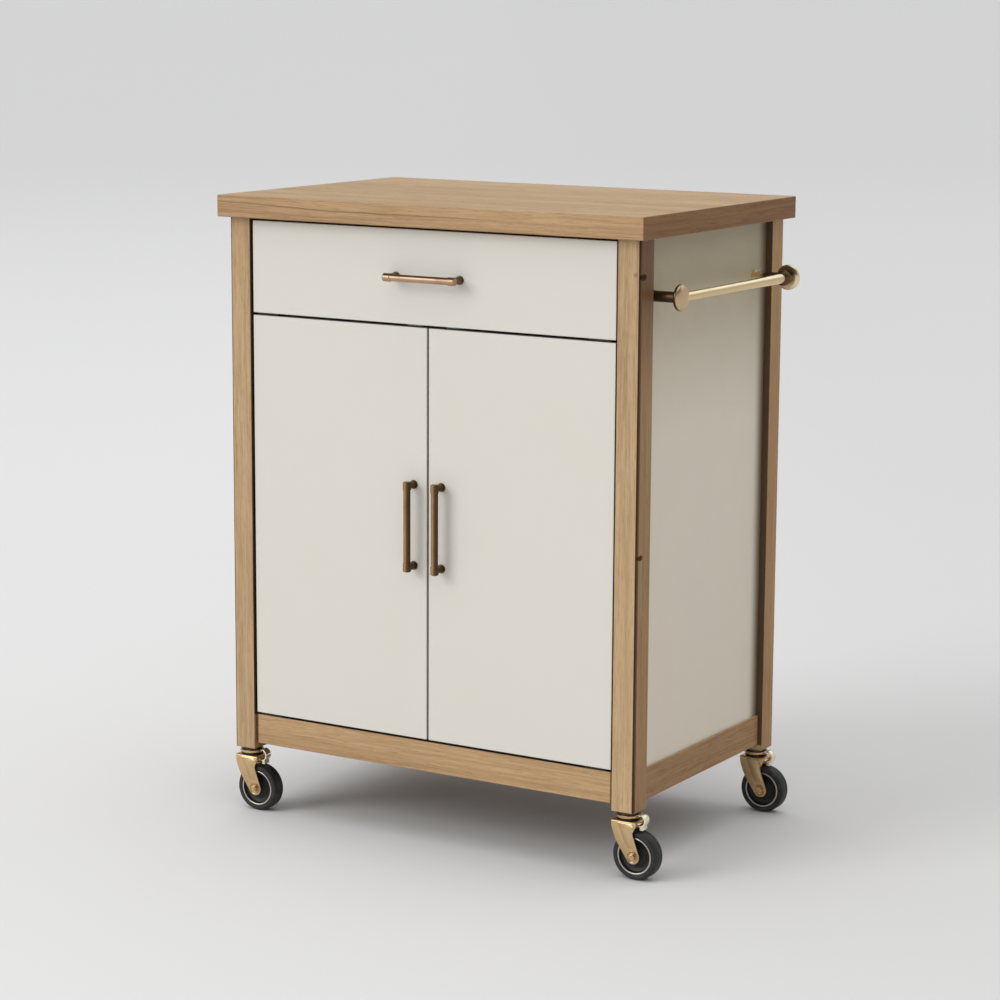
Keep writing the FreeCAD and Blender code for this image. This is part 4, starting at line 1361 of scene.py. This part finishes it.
def fork_rivet(sizes):
    """The lever's pin on one side: a rivet head outside the cheek and the pin inside it."""
    head = sizes.rivet_radius / MM
    pin = 2.0
    pin_end = LEVER_HALF_WIDTH + 0.1
    profile = [(0, CHEEK_OUTER + 1.3), (head * 0.5, CHEEK_OUTER + 1.15), (head * 0.86, CHEEK_OUTER + 0.7)]
    profile += [(head, CHEEK_OUTER), (pin, CHEEK_OUTER - 0.4), (pin, pin_end), (0, pin_end)]
    centre = Vector((LEVER_PIN[0] * MM, 0, LEVER_PIN[1] * MM))
    return turned("fork_rivet", profile, centre, Y_AXIS, steps=24)


class CART_OT_forks(bpy.types.Operator):
    """Model the casters' pressed forks"""

    bl_idname = "cart.forks"
    bl_label = "Caster forks"

    def execute(self, context):
        sizes = context.scene.cart_casters
        start, length = FORK_BLANK
        fork = slab("fork", in_yz(fork_section(), start), X_AXIS * (length * MM))
        start, length = CHEEK_BLANK
        side = slab("fork_side", in_xz(fork_side(), start), Y_AXIS * (length * MM))
        combine(fork, side, "INTERSECT")
        hole = rod(KING_BORE, CROWN_BOTTOM - SPARE, CROWN_TOP + SPARE)
        combine(fork, turned("king_bore", hole, steps=40), "DIFFERENCE")
        break_edges(fork, sizes.fork_bevel)
        rib = fork_rib(sizes)
        rivet = fork_rivet(sizes)
        rear = [mirrored(rib, "fork_rib_rear"), mirrored(rivet, "fork_rivet_rear")]
        fork = join([fork, rib, rivet, *rear], "fork")
        brass = plain_metal(context.scene.cart_finishes, "brass_fork")
        set_casters((fork, "fork", brass, "caster", "brass", "fork"))
        return {"FINISHED"}


# Radii, and heights above the fork's cheek
WASHER_PROFILE = [
    (3.0, 0), (7.6, 0), (8.0, 0.4), (8.0, 1.5), (7.5, 1.9), (7.0, 1.7), (6.5, 1.0), (3.0, 0.8),
]
NUT_START = 0.8
NUT_HEIGHT = 3.4
NUT_RADIUS = 5.0
NUT_BEVEL = 0.15 * MM


def axle_nut():
    """A dished washer, a chamfered hexagon nut and the domed end of the bolt, towards +Y."""
    washer = turned_wheel("washer", [(radius, CHEEK_OUTER + up) for radius, up in WASHER_PROFILE], steps=48)
    start = CHEEK_OUTER + NUT_START
    top = start + NUT_HEIGHT
    corners = arc((WHEEL.x, WHEEL.z), NUT_RADIUS, 12, 312, steps=5)
    nut = slab("nut", in_xz(corners, start), Y_AXIS * (NUT_HEIGHT * MM))
    cone = [(0, start - 1), (6, start - 1), (6, top - 0.7), (4.2, top), (0, top)]
    combine(nut, turned_wheel("nut_chamfer", cone, steps=48), "INTERSECT")
    break_edges(nut, NUT_BEVEL, 1)
    dome = [(AXLE_RADIUS, top - 0.5), (AXLE_RADIUS, top + 0.4), (2.4, top + 0.9), (0, top + 1.0)]
    stub = turned_wheel("bolt_end", dome, steps=24)
    return join([washer, nut, stub], "axle_nut")


class CART_OT_axles(bpy.types.Operator):
    """Model the casters' axle bolts with their nuts and washers"""

    bl_idname = "cart.axles"
    bl_label = "Caster axles"

    def execute(self, context):
        shank = turned_wheel("axle", rod(AXLE_RADIUS, -CHEEK_OUTER, CHEEK_OUTER), steps=32)
        nut = axle_nut()
        axle = join([shank, nut, mirrored(nut, "axle_head")], "axle")
        brass = plain_metal(context.scene.cart_finishes, "brass_axle")
        set_casters((axle, "axle", brass, "caster", "brass", "axle"))
        return {"FINISHED"}


def tyre_half():
    """Half of the tyre's section (radius, distance from the middle), from the rim outwards."""
    rim = RIM_RADIUS + 0.1
    side = TYRE_SIDE
    tread = WHEEL_RADIUS
    bead = [(rim, side - 1.4), (rim + 0.1, side - 0.6), (rim + 0.7, side - 0.15), (rim + 1.6, side)]
    wall = [(rim + 2.1, side - 0.2), (rim + 2.6, side - 0.2), (rim + 3.0, side - 0.05)]
    shoulder = arc((tread - 4.2, side - 4.2), 4.2, 72, 6, steps=6)
    groove = [(tread - 0.05, 4.4), (tread - 0.55, 4.1), (tread - 0.55, 3.6), (tread, 3.3), (tread, 1)]
    return bead + wall + shoulder + groove


def core_half():
    """Half of the core's section: hub, dished web with a ring, and rim."""
    rim = RIM_RADIUS
    hub = HUB_SIDE - 0.05
    section = [(3.06, hub), (7.3, hub), (8.0, hub - 0.7), (8.3, 7.2), (9.6, 5.8), (13.8, 5.0)]
    section += [(14.4, 5.9), (16.0, 5.9), (16.6, 5.0), (rim - 6.3, 5.2), (rim - 4.4, 6.4)]
    section += [(rim - 3.6, 9.2), (rim - 2.9, 10.0), (rim, 10.0)]
    return section


def trim_section():
    """Section of the thin ring that trims the rim."""
    low = 9.9
    inner = RIM_RADIUS - 2.8
    outer = RIM_RADIUS - 0.4
    middle = (inner + outer) / 2
    dome = [(inner + 0.1, low + 0.6), (inner + 0.5, low + 0.95), (middle, low + 1.1)]
    dome += [(outer - 0.5, low + 0.95), (outer - 0.1, low + 0.6)]
    return [(inner, low), *dome, (outer, low), (inner, low)]


class CART_OT_wheels(bpy.types.Operator):
    """Model the wheels: tyres, cores and the thin trim rings"""

    bl_idname = "cart.wheels"
    bl_label = "Wheels"

    def execute(self, context):
        finishes = context.scene.cart_finishes
        steps = context.scene.cart_casters.wheel_steps
        tyre = turned_wheel("tyre", both_sides(tyre_half()), steps)
        core = turned_wheel("core", both_sides(core_half()), steps)
        ring = turned_wheel("trim", trim_section(), steps)
        trim = join([ring, mirrored(ring, "trim_rear")], "trim")
        rubber = dusty_material("tyre_rubber", finishes.rubber, finishes.dust)
        plastic = dusty_material("core_plastic", finishes.core, finishes.core_dust)
        silver = plain_metal(finishes, "trim_steel")
        set_casters(
            (tyre, "tyre", rubber, "wheel", "tyre", "tyre"),
            (core, "core", plastic, "wheel", "wheel_core", "core"),
            (trim, "trim_ring", silver, "wheel", "steel", None),
        )
        return {"FINISHED"}


def lever_outline():
    """Outline (x, z) of the brake lever: hub, leg, curled tab and shoe."""
    inner = LEVER_CURL - LEVER_SHEET / 2
    outer = LEVER_CURL + LEVER_SHEET / 2
    curl = (LEVER_HIGH.x - outer, LEVER_PIN[1] + LEVER_CURL)
    lip = curl[0] - 1
    lip_low = curl[1] + LEVER_CURL - 1.1
    lip_high = curl[1] + LEVER_CURL + 1.1
    shoe_top = LEVER_PIN[1] - LEVER_SHEET / 2
    shoe = LEVER_LOW.z
    lip_end = [(lip + 2, lip_low), (lip, lip_low, 0.9), (lip, lip_high, 0.9), (lip + 2, lip_high)]
    heel, toe = SHOE_SPAN
    shoe_end = [(toe, shoe_top), (toe, shoe, 0.6), (heel, shoe, 0.6), (heel, shoe_top)]
    points = arc(curl, inner, -90, 90, steps=14)
    points += rounded(lip_end, steps=3)
    points += arc(curl, outer, 90, -52, steps=16)
    points += rounded(shoe_end, steps=3)
    points += arc(LEVER_PIN, LEVER_HUB, -17.8, -342.2, steps=18)
    return points


class CART_OT_brake_levers(bpy.types.Operator):
    """Model the casters' curled brake levers"""

    bl_idname = "cart.brake_levers"
    bl_label = "Brake levers"

    def execute(self, context):
        width = Y_AXIS * (2 * LEVER_HALF_WIDTH * MM)
        lever = slab("lever", in_xz(lever_outline(), -LEVER_HALF_WIDTH), width)
        break_edges(lever, context.scene.cart_casters.lever_bevel)
        brass = plain_metal(context.scene.cart_finishes, "brass_lever")
        set_casters((lever, "brake_lever", brass, "brake", "brass", "brake"))
        return {"FINISHED"}


# Radii, and heights above the fork's crown
STEM_PROFILE = [
    (0, 48.3), (4.4, 48.3), (5.0, 47.7), (5.0, 12.3), (14.8, 12.3), (15.5, 11.7), (15.5, 9.5),
    (14.9, 9.1), (14.9, 8.3), (15.6, 7.8), (16.8, 7.8), (17.5, 7.1), (17.5, 4.9), (17.0, 4.0),
    (16.2, 3.3), (5.0, 3.3), (5.0, -3.3), (8.0, -3.3), (8.0, -4.3), (6.9, -6.1), (4.5, -6.8), (0, -6.9),
]
RACE_PROFILE = [
    (9.0, 0.3), (15.4, 0.3), (16.0, 0.8), (16.0, 1.7), (15.5, 1.7), (15.2, 1.0), (9.0, 1.0), (9.0, 0.3),
]
COLLAR_FOOT = 7.8
COLLAR_FADE = 0.2
COLLAR_STRENGTH = 0.95
RACE_BALL_CIRCLE = 13.4
RACE_BALL_HEIGHT = 2.25


def stem_material(finishes):
    """Brass race plate under a dark collar, which is painted shade under the post."""
    metal = brushed(finishes, "stem_metal")
    foot = CROWN_TOP + COLLAR_FOOT
    start, full = ((foot - COLLAR_FADE) * MM, (foot + COLLAR_FADE) * MM)
    collar = metal.spread(metal.spot("Z"), start, full, 0.0, COLLAR_STRENGTH)
    metal.stain(collar, finishes.dark_steel)
    return metal.finished(*METAL_BUMP)


def race_balls(sizes):
    """The balls of one swivel race."""
    balls = []
    for step in range(sizes.ball_count):
        angle = FULL_TURN * step / sizes.ball_count
        place = Vector((math.cos(angle), math.sin(angle), 0)) * RACE_BALL_CIRCLE * MM
        bpy.ops.mesh.primitive_uv_sphere_add(segments=12, ring_count=8, radius=sizes.ball_radius)
        ball = bpy.context.active_object
        edit(ball)
        bpy.ops.transform.translate(value=place + Z_AXIS * (CROWN_TOP + RACE_BALL_HEIGHT) * MM)
        rest()
        smooth(ball, 60)
        balls.append(ball)
    return balls


class CART_OT_swivels(bpy.types.Operator):
    """Model the stems with their collars, and the ball races under them"""

    bl_idname = "cart.swivels"
    bl_label = "Swivels"

    def execute(self, context):
        finishes = context.scene.cart_finishes
        crown = Z_AXIS * CROWN_TOP * MM
        stems = at_corners(turned("stem", STEM_PROFILE, crown), "stems")
        finish_piece(stems, stem_material(finishes), "cart", "brass", "caster_stems")
        ring = turned("race", RACE_PROFILE, crown)
        race = join([ring, *race_balls(context.scene.cart_casters)], "race")
        races = at_corners(race, "ball_races")
        # Painted shade: the races are black, as they sit in the dark gap under the stem.
        black = plain_metal(finishes, "black_steel")
        finish_piece(races, black, "cart", "brass", "caster_ball_races")
        return {"FINISHED"}


# Screws

RECESS_REACH = 1.1
FLAT_DOME = 0.35
FLAT_RECESS = 1.0 * MM
PAN_RECESS = 1.1 * MM
SCREW_SPIN = 0.7
PULL_FOOT_INSET = 6.5 * MM
PIVOT_PLATE = 2.0 * MM
PIVOT_SCREW_REACH = 11 * MM
UPPER_PIVOT_INSET = 12 * MM
LOWER_PIVOT_INSET = 6 * MM
CATCH_HALF_WIDTH = 15 * MM
CATCH_SCREW_REACH = 9 * MM
CATCH_SCREW_INSET = 9 * MM
SLIDE_SHEET = 1.2 * MM
RUNNER_SCREW_INSET = 8 * MM
SLIDE_SCREW_SHARES = (0.08, 0.5, 0.92)
STRETCHER_SCREW_INSET = 30 * MM
STRETCHER_SCREW_SHARES = (0.15, 0.5, 0.85)


def cross_recess(screw, width, length, top, depth):
    """Cuts a cross recess into a screw's head."""
    for bar in ((width, length), (length, width)):
        bpy.ops.mesh.primitive_cube_add(size=1)
        cutter = bpy.context.active_object
        edit(cutter)
        bpy.ops.transform.resize(value=(*bar, 2 * depth))
        bpy.ops.transform.translate(value=(0, 0, top))
        rest()
        combine(screw, cutter, "DIFFERENCE")
    smooth(screw)


def flat_screw(sizes):
    """A countersunk screw head with a low dome, standing on the origin."""
    radius = sizes.head_radius / MM
    profile = [(0, FLAT_DOME), (radius * 0.55, 0.3), (radius * 0.9, 0.15), (radius, 0)]
    profile += [(1.6, -1.8), (1.6, -6), (0, -6.5)]
    screw = turned("flat_screw", profile, steps=28)
    cross_recess(screw, sizes.slot_width, radius * RECESS_REACH * MM, FLAT_DOME * MM, FLAT_RECESS)
    return screw


def pan_screw(sizes):
    """A pan head screw, standing on the origin."""
    radius = sizes.pan_radius / MM
    height = sizes.pan_height / MM
    profile = [(0, height), (radius * 0.6, height * 0.95), (radius * 0.9, height * 0.65)]
    profile += [(radius, height * 0.3), (radius, 0), (0, 0)]
    screw = turned("pan_screw", profile, steps=32)
    cross_recess(screw, sizes.slot_width, radius * RECESS_REACH * MM, height * MM, PAN_RECESS)
    return screw


def set_screws(screw, material, name, body, direction, places):
    """Copies of a screw at several places, all facing one direction, as one piece."""
    turn = Z_AXIS.rotation_difference(direction).to_matrix().to_4x4()
    copies = []
    for count, place in enumerate(places):
        spun = turn @ Matrix.Rotation(SCREW_SPIN * count, 4, "Z")
        copies.append(copy_of(screw, name, place, spun))
    finish_piece(join(copies, name), material, body, "steel")


def beside(middles, reach):
    """Two places, one on either side of each middle."""
    return [middle + offset for middle in middles for offset in (-reach, reach)]


def shares_of(start, end, shares):
    """Places between a start and an end, given as shares of the way."""
    return [start + (end - start) * share for share in shares]


def grid(columns, rows, height):
    """Every place on the columns (x) and rows (y), all at one height."""
    return [Vector((x, y, height)) for y in rows for x in columns]


def pull_screws():
    """Two screws behind each pull, on the inner face of its front."""
    fronts = {"drawer": "drawer_front", "door_left": "door_left", "door_right": "door_right"}
    for body, front in fronts.items():
        along = X_AXIS if body == "drawer" else Z_AXIS
        centre, half = box_of(f"{body}_pull")
        centre.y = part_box(front)[1].y
        reach = along * (half.dot(along) - PULL_FOOT_INSET)
        yield f"{body}_pull_screws", body, Y_AXIS, [centre - reach, centre + reach]


def pivot_screws():
    """Two screws in each pivot plate."""
    low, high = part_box("door_pivot_plates")
    hinges = [JOINTS[f"door_{side}_hinge"]["pos_m"] for side in SIDES]
    columns = beside([hinge[0] for hinge in hinges], PIVOT_SCREW_REACH)
    upper = grid(columns, [high.y - UPPER_PIVOT_INSET], high.z - PIVOT_PLATE)
    lower = grid(columns, [hinges[0][1] + LOWER_PIVOT_INSET], low.z + PIVOT_PLATE)
    yield "upper_pivot_screws", "cart", -Z_AXIS, upper
    yield "lower_pivot_screws", "cart", Z_AXIS, lower


def catch_screws():
    """Two screws in each catch."""
    low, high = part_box("door_catches")
    columns = beside([low.x + CATCH_HALF_WIDTH, high.x - CATCH_HALF_WIDTH], CATCH_SCREW_REACH)
    yield "catch_screws", "cart", -Z_AXIS, grid(columns, [high.y - CATCH_SCREW_INSET], low.z)


def slide_screws():
    """Screws in the runners' ends and along the drawer's slides."""
    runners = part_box("drawer_runners")
    low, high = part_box("drawer_slides")
    height = (low.z + high.z) / 2
    ends = [runners[0].y + RUNNER_SCREW_INSET, runners[1].y - RUNNER_SCREW_INSET]
    along = shares_of(low.y, high.y, SLIDE_SCREW_SHARES)
    for side, sign in SIDES.items():
        outer = 1 if side == "right" else 0
        web = runners[outer].x - sign * SLIDE_SHEET
        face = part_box(f"drawer_side_{side}")[outer].x + sign * SLIDE_SHEET
        yield f"runner_screws_{side}", "cart", X_AXIS * -sign, grid([web], ends, height)
        yield f"slide_screws_{side}", "drawer", X_AXIS * sign, grid([face], along, height)


def stretcher_screws():
    """Three screws through each stretcher into the worktop."""
    low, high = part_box("top_stretchers")
    columns = shares_of(low.x, high.x, STRETCHER_SCREW_SHARES)
    rows = [low.y + STRETCHER_SCREW_INSET, high.y - STRETCHER_SCREW_INSET]
    yield "stretcher_screws", "cart", -Z_AXIS, grid(columns, rows, low.z)


class CART_OT_screws(bpy.types.Operator):
    """Model the screws of the pulls, pivots, catches, slides and stretchers"""

    bl_idname = "cart.screws"
    bl_label = "Screws"

    def execute(self, context):
        sizes = context.scene.cart_screws
        steel = plain_metal(context.scene.cart_finishes, "screw_steel")
        flat = flat_screw(sizes)
        pan = pan_screw(sizes)
        for row in pull_screws():
            set_screws(pan, steel, *row)
        for row in (*pivot_screws(), *catch_screws(), *slide_screws(), *stretcher_screws()):
            set_screws(flat, steel, *row)
        remove(flat, pan)
        return {"FINISHED"}


# Stage: distances from the middle of the floor, and heights in the sky from 0 to 1

FLOOR_RADIUS = 300
FLOOR_SIDES = 96
FLOOR_TONE_SCALE = 1.3
FLOOR_SPECULAR = 0.2
FLOOR_ROUGHNESS = 0.75
FLOOR_MOTTLE = 0.985
# Painted light on the floor: distances over which it darkens far away, and how it darkens towards one side.
FAR_SPAN = (2.0, 16.0)
FALL_SPAN = (-0.9, 1.1)
FALL_STRENGTH = 0.11
FALL_FADE = (3.0, 14.0)
FALL_FAR = 0.2
CEILING_SPAN = (0.15, 0.6)
PANEL_SPAN = (0.78, 0.90)
# The overhead panel hangs lower on this side, towards the rear right, by this much
PANEL_SIDE = (0.35, 0.937)
PANEL_SIDE_SPAN = (0.58, 0.68)
PANEL_LEAN = 0.48
LAMP_DISTANCE = 4
SENSOR_WIDTH = 36
BLACK = (0, 0, 0)
WHITE = (1, 1, 1)


class CART_OT_stage(bpy.types.Operator):
    """Set the floor, the soft light and the camera"""

    bl_idname = "cart.stage"
    bl_label = "Stage"

    def execute(self, context):
        stage = context.scene.cart_stage
        context.scene.view_settings.view_transform = "Standard"
        self.set_floor(stage)
        self.set_world(context, stage)
        self.set_key_light(context, stage)
        self.set_camera(context, stage)
        return {"FINISHED"}

    def set_floor(self, stage):
        """A wide floor with painted light: brighter near the cart, darker a little to one side and far away.
        """
        bpy.ops.mesh.primitive_circle_add(vertices=FLOOR_SIDES, radius=FLOOR_RADIUS, fill_type="NGON")
        floor = bpy.context.active_object
        floor.name = "studio_floor"
        surface = Surface("studio_floor", specular=FLOOR_SPECULAR)
        tone = surface.noise(surface.place, FLOOR_TONE_SCALE, 3.0)["Fac"]
        colour = surface.blend(tone, stage.floor_colour, scaled(stage.floor_colour, FLOOR_MOTTLE))
        away = surface.length(surface.place)
        colour = surface.blend(surface.spread(away, *FAR_SPAN), colour, stage.floor_far)
        aside = surface.weigh(
            (surface.spot("X"), stage.fall_from[0]), (surface.spot("Y"), stage.fall_from[1])
        )
        fall = surface.spread(aside, *FALL_SPAN, 0.0, FALL_STRENGTH)
        fall = surface.times(fall, surface.spread(away, *FALL_FADE, 1.0, FALL_FAR))
        surface.feed(surface.shader["Base Color"], surface.blend(fall, colour, BLACK))
        surface.shader["Roughness"].default_value = FLOOR_ROUGHNESS
        floor.data.materials.append(surface.material)

    def set_world(self, context, stage):
        """Soft light that is strongest overhead, and the backdrop that camera and metal see."""
        world = bpy.data.worlds.new("studio_world")
        context.scene.world = world
        world.use_nodes = True
        wire = Wiring(world.node_tree)
        direction = wire.parts(wire.node("ShaderNodeTexCoord").outputs["Generated"])
        height = wire.math("MAXIMUM", direction[2], 0.0)
        light = world.node_tree.nodes["Background"]
        wire.feed(light.inputs["Color"], WHITE)
        overhead = wire.math("POWER", height, 2.0)
        strength = wire.weigh((overhead, stage.sky_high - stage.sky_low), (1.0, stage.sky_low))
        wire.feed(light.inputs["Strength"], strength)
        rearwards = wire.weigh((direction[0], PANEL_SIDE[0]), (direction[1], PANEL_SIDE[1]))
        lean = wire.spread(rearwards, *PANEL_SIDE_SPAN, 0.0, PANEL_LEAN)
        panel = wire.spread(wire.math("ADD", height, lean), *PANEL_SPAN)
        shade = wire.blend(wire.spread(height, *CEILING_SPAN), stage.backdrop, stage.ceiling)
        shade = wire.blend(panel, shade, stage.overhead)
        seen = wire.node("ShaderNodeBackground", {"Color": shade, "Strength": 1.0})
        path = wire.node("ShaderNodeLightPath").outputs
        direct = wire.math("MAXIMUM", path["Is Camera Ray"], path["Is Glossy Ray"])
        direct = wire.math("MAXIMUM", direct, path["Is Transmission Ray"])
        mix = wire.node("ShaderNodeMixShader", {0: direct, 1: light.outputs[0], 2: seen.outputs[0]})
        wire.feed(world.node_tree.nodes["World Output"].inputs["Surface"], mix.outputs[0])

    def set_key_light(self, context, stage):
        """One wide soft light from the front left."""
        key = bpy.data.lights.new("key_light", "SUN")
        key.energy = stage.sun_power
        key.angle = stage.sun_spread
        lamp = bpy.data.objects.new("key_light", key)
        context.scene.collection.objects.link(lamp)
        source = Vector(stage.sun_from)
        lamp.location = source * LAMP_DISTANCE
        lamp.rotation_euler = (-source).to_track_quat("-Z", "Y").to_euler()

    def set_camera(self, context, stage):
        camera = bpy.data.cameras.new("camera")
        camera.lens = stage.lens
        camera.sensor_fit = "HORIZONTAL"
        camera.sensor_width = SENSOR_WIDTH
        holder = bpy.data.objects.new("camera", camera)
        context.scene.collection.objects.link(holder)
        yaw, pitch, roll = stage.camera_turn
        turn = Matrix.Rotation(yaw, 3, "Z") @ Matrix.Rotation(math.pi / 2 - pitch, 3, "X")
        turn = turn @ Matrix.Rotation(roll, 3, "Z")
        holder.location = stage.camera_place
        holder.rotation_euler = turn.to_euler()
        context.scene.camera = holder


OPERATORS = (
    CART_OT_oak_boards,
    CART_OT_painted_boards,
    CART_OT_drawer_box,
    CART_OT_metalwork,
    CART_OT_towel_bar_ends,
    CART_OT_forks,
    CART_OT_axles,
    CART_OT_wheels,
    CART_OT_brake_levers,
    CART_OT_swivels,
    CART_OT_screws,
    CART_OT_stage,
)
SETTINGS = {
    "cart_finishes": CartFinishes,
    "cart_casters": CartCasterSizes,
    "cart_screws": CartScrewSizes,
    "cart_stage": CartStage,
}


class CART_PT_panel(bpy.types.Panel):
    """Lists the cart's operators and settings."""

    bl_idname = "CART_PT_panel"
    bl_label = "Kitchen cart"
    bl_space_type = "VIEW_3D"
    bl_region_type = "UI"
    bl_category = "Cart"

    def draw(self, context):
        for operator in OPERATORS:
            self.layout.operator(operator.bl_idname)
        for name in SETTINGS:
            settings = getattr(context.scene, name)
            for label in settings.__annotations__:
                self.layout.prop(settings, label)


def register():
    for name, group in SETTINGS.items():
        bpy.utils.register_class(group)
        setattr(bpy.types.Scene, name, PointerProperty(type=group))
    for item in (*OPERATORS, CART_PT_panel):
        bpy.utils.register_class(item)


def unregister():
    for item in reversed((*OPERATORS, CART_PT_panel)):
        bpy.utils.unregister_class(item)
    for name, group in SETTINGS.items():
        delattr(bpy.types.Scene, name)
        bpy.utils.unregister_class(group)


def main():
    register()
    bpy.ops.cart.oak_boards()
    bpy.ops.cart.painted_boards()
    bpy.ops.cart.drawer_box()
    bpy.ops.cart.metalwork()
    bpy.ops.cart.towel_bar_ends()
    bpy.ops.cart.forks()
    bpy.ops.cart.axles()
    bpy.ops.cart.wheels()
    bpy.ops.cart.brake_levers()
    bpy.ops.cart.swivels()
    bpy.ops.cart.screws()
    bpy.ops.cart.stage()


if __name__ == "__main__":
    main()
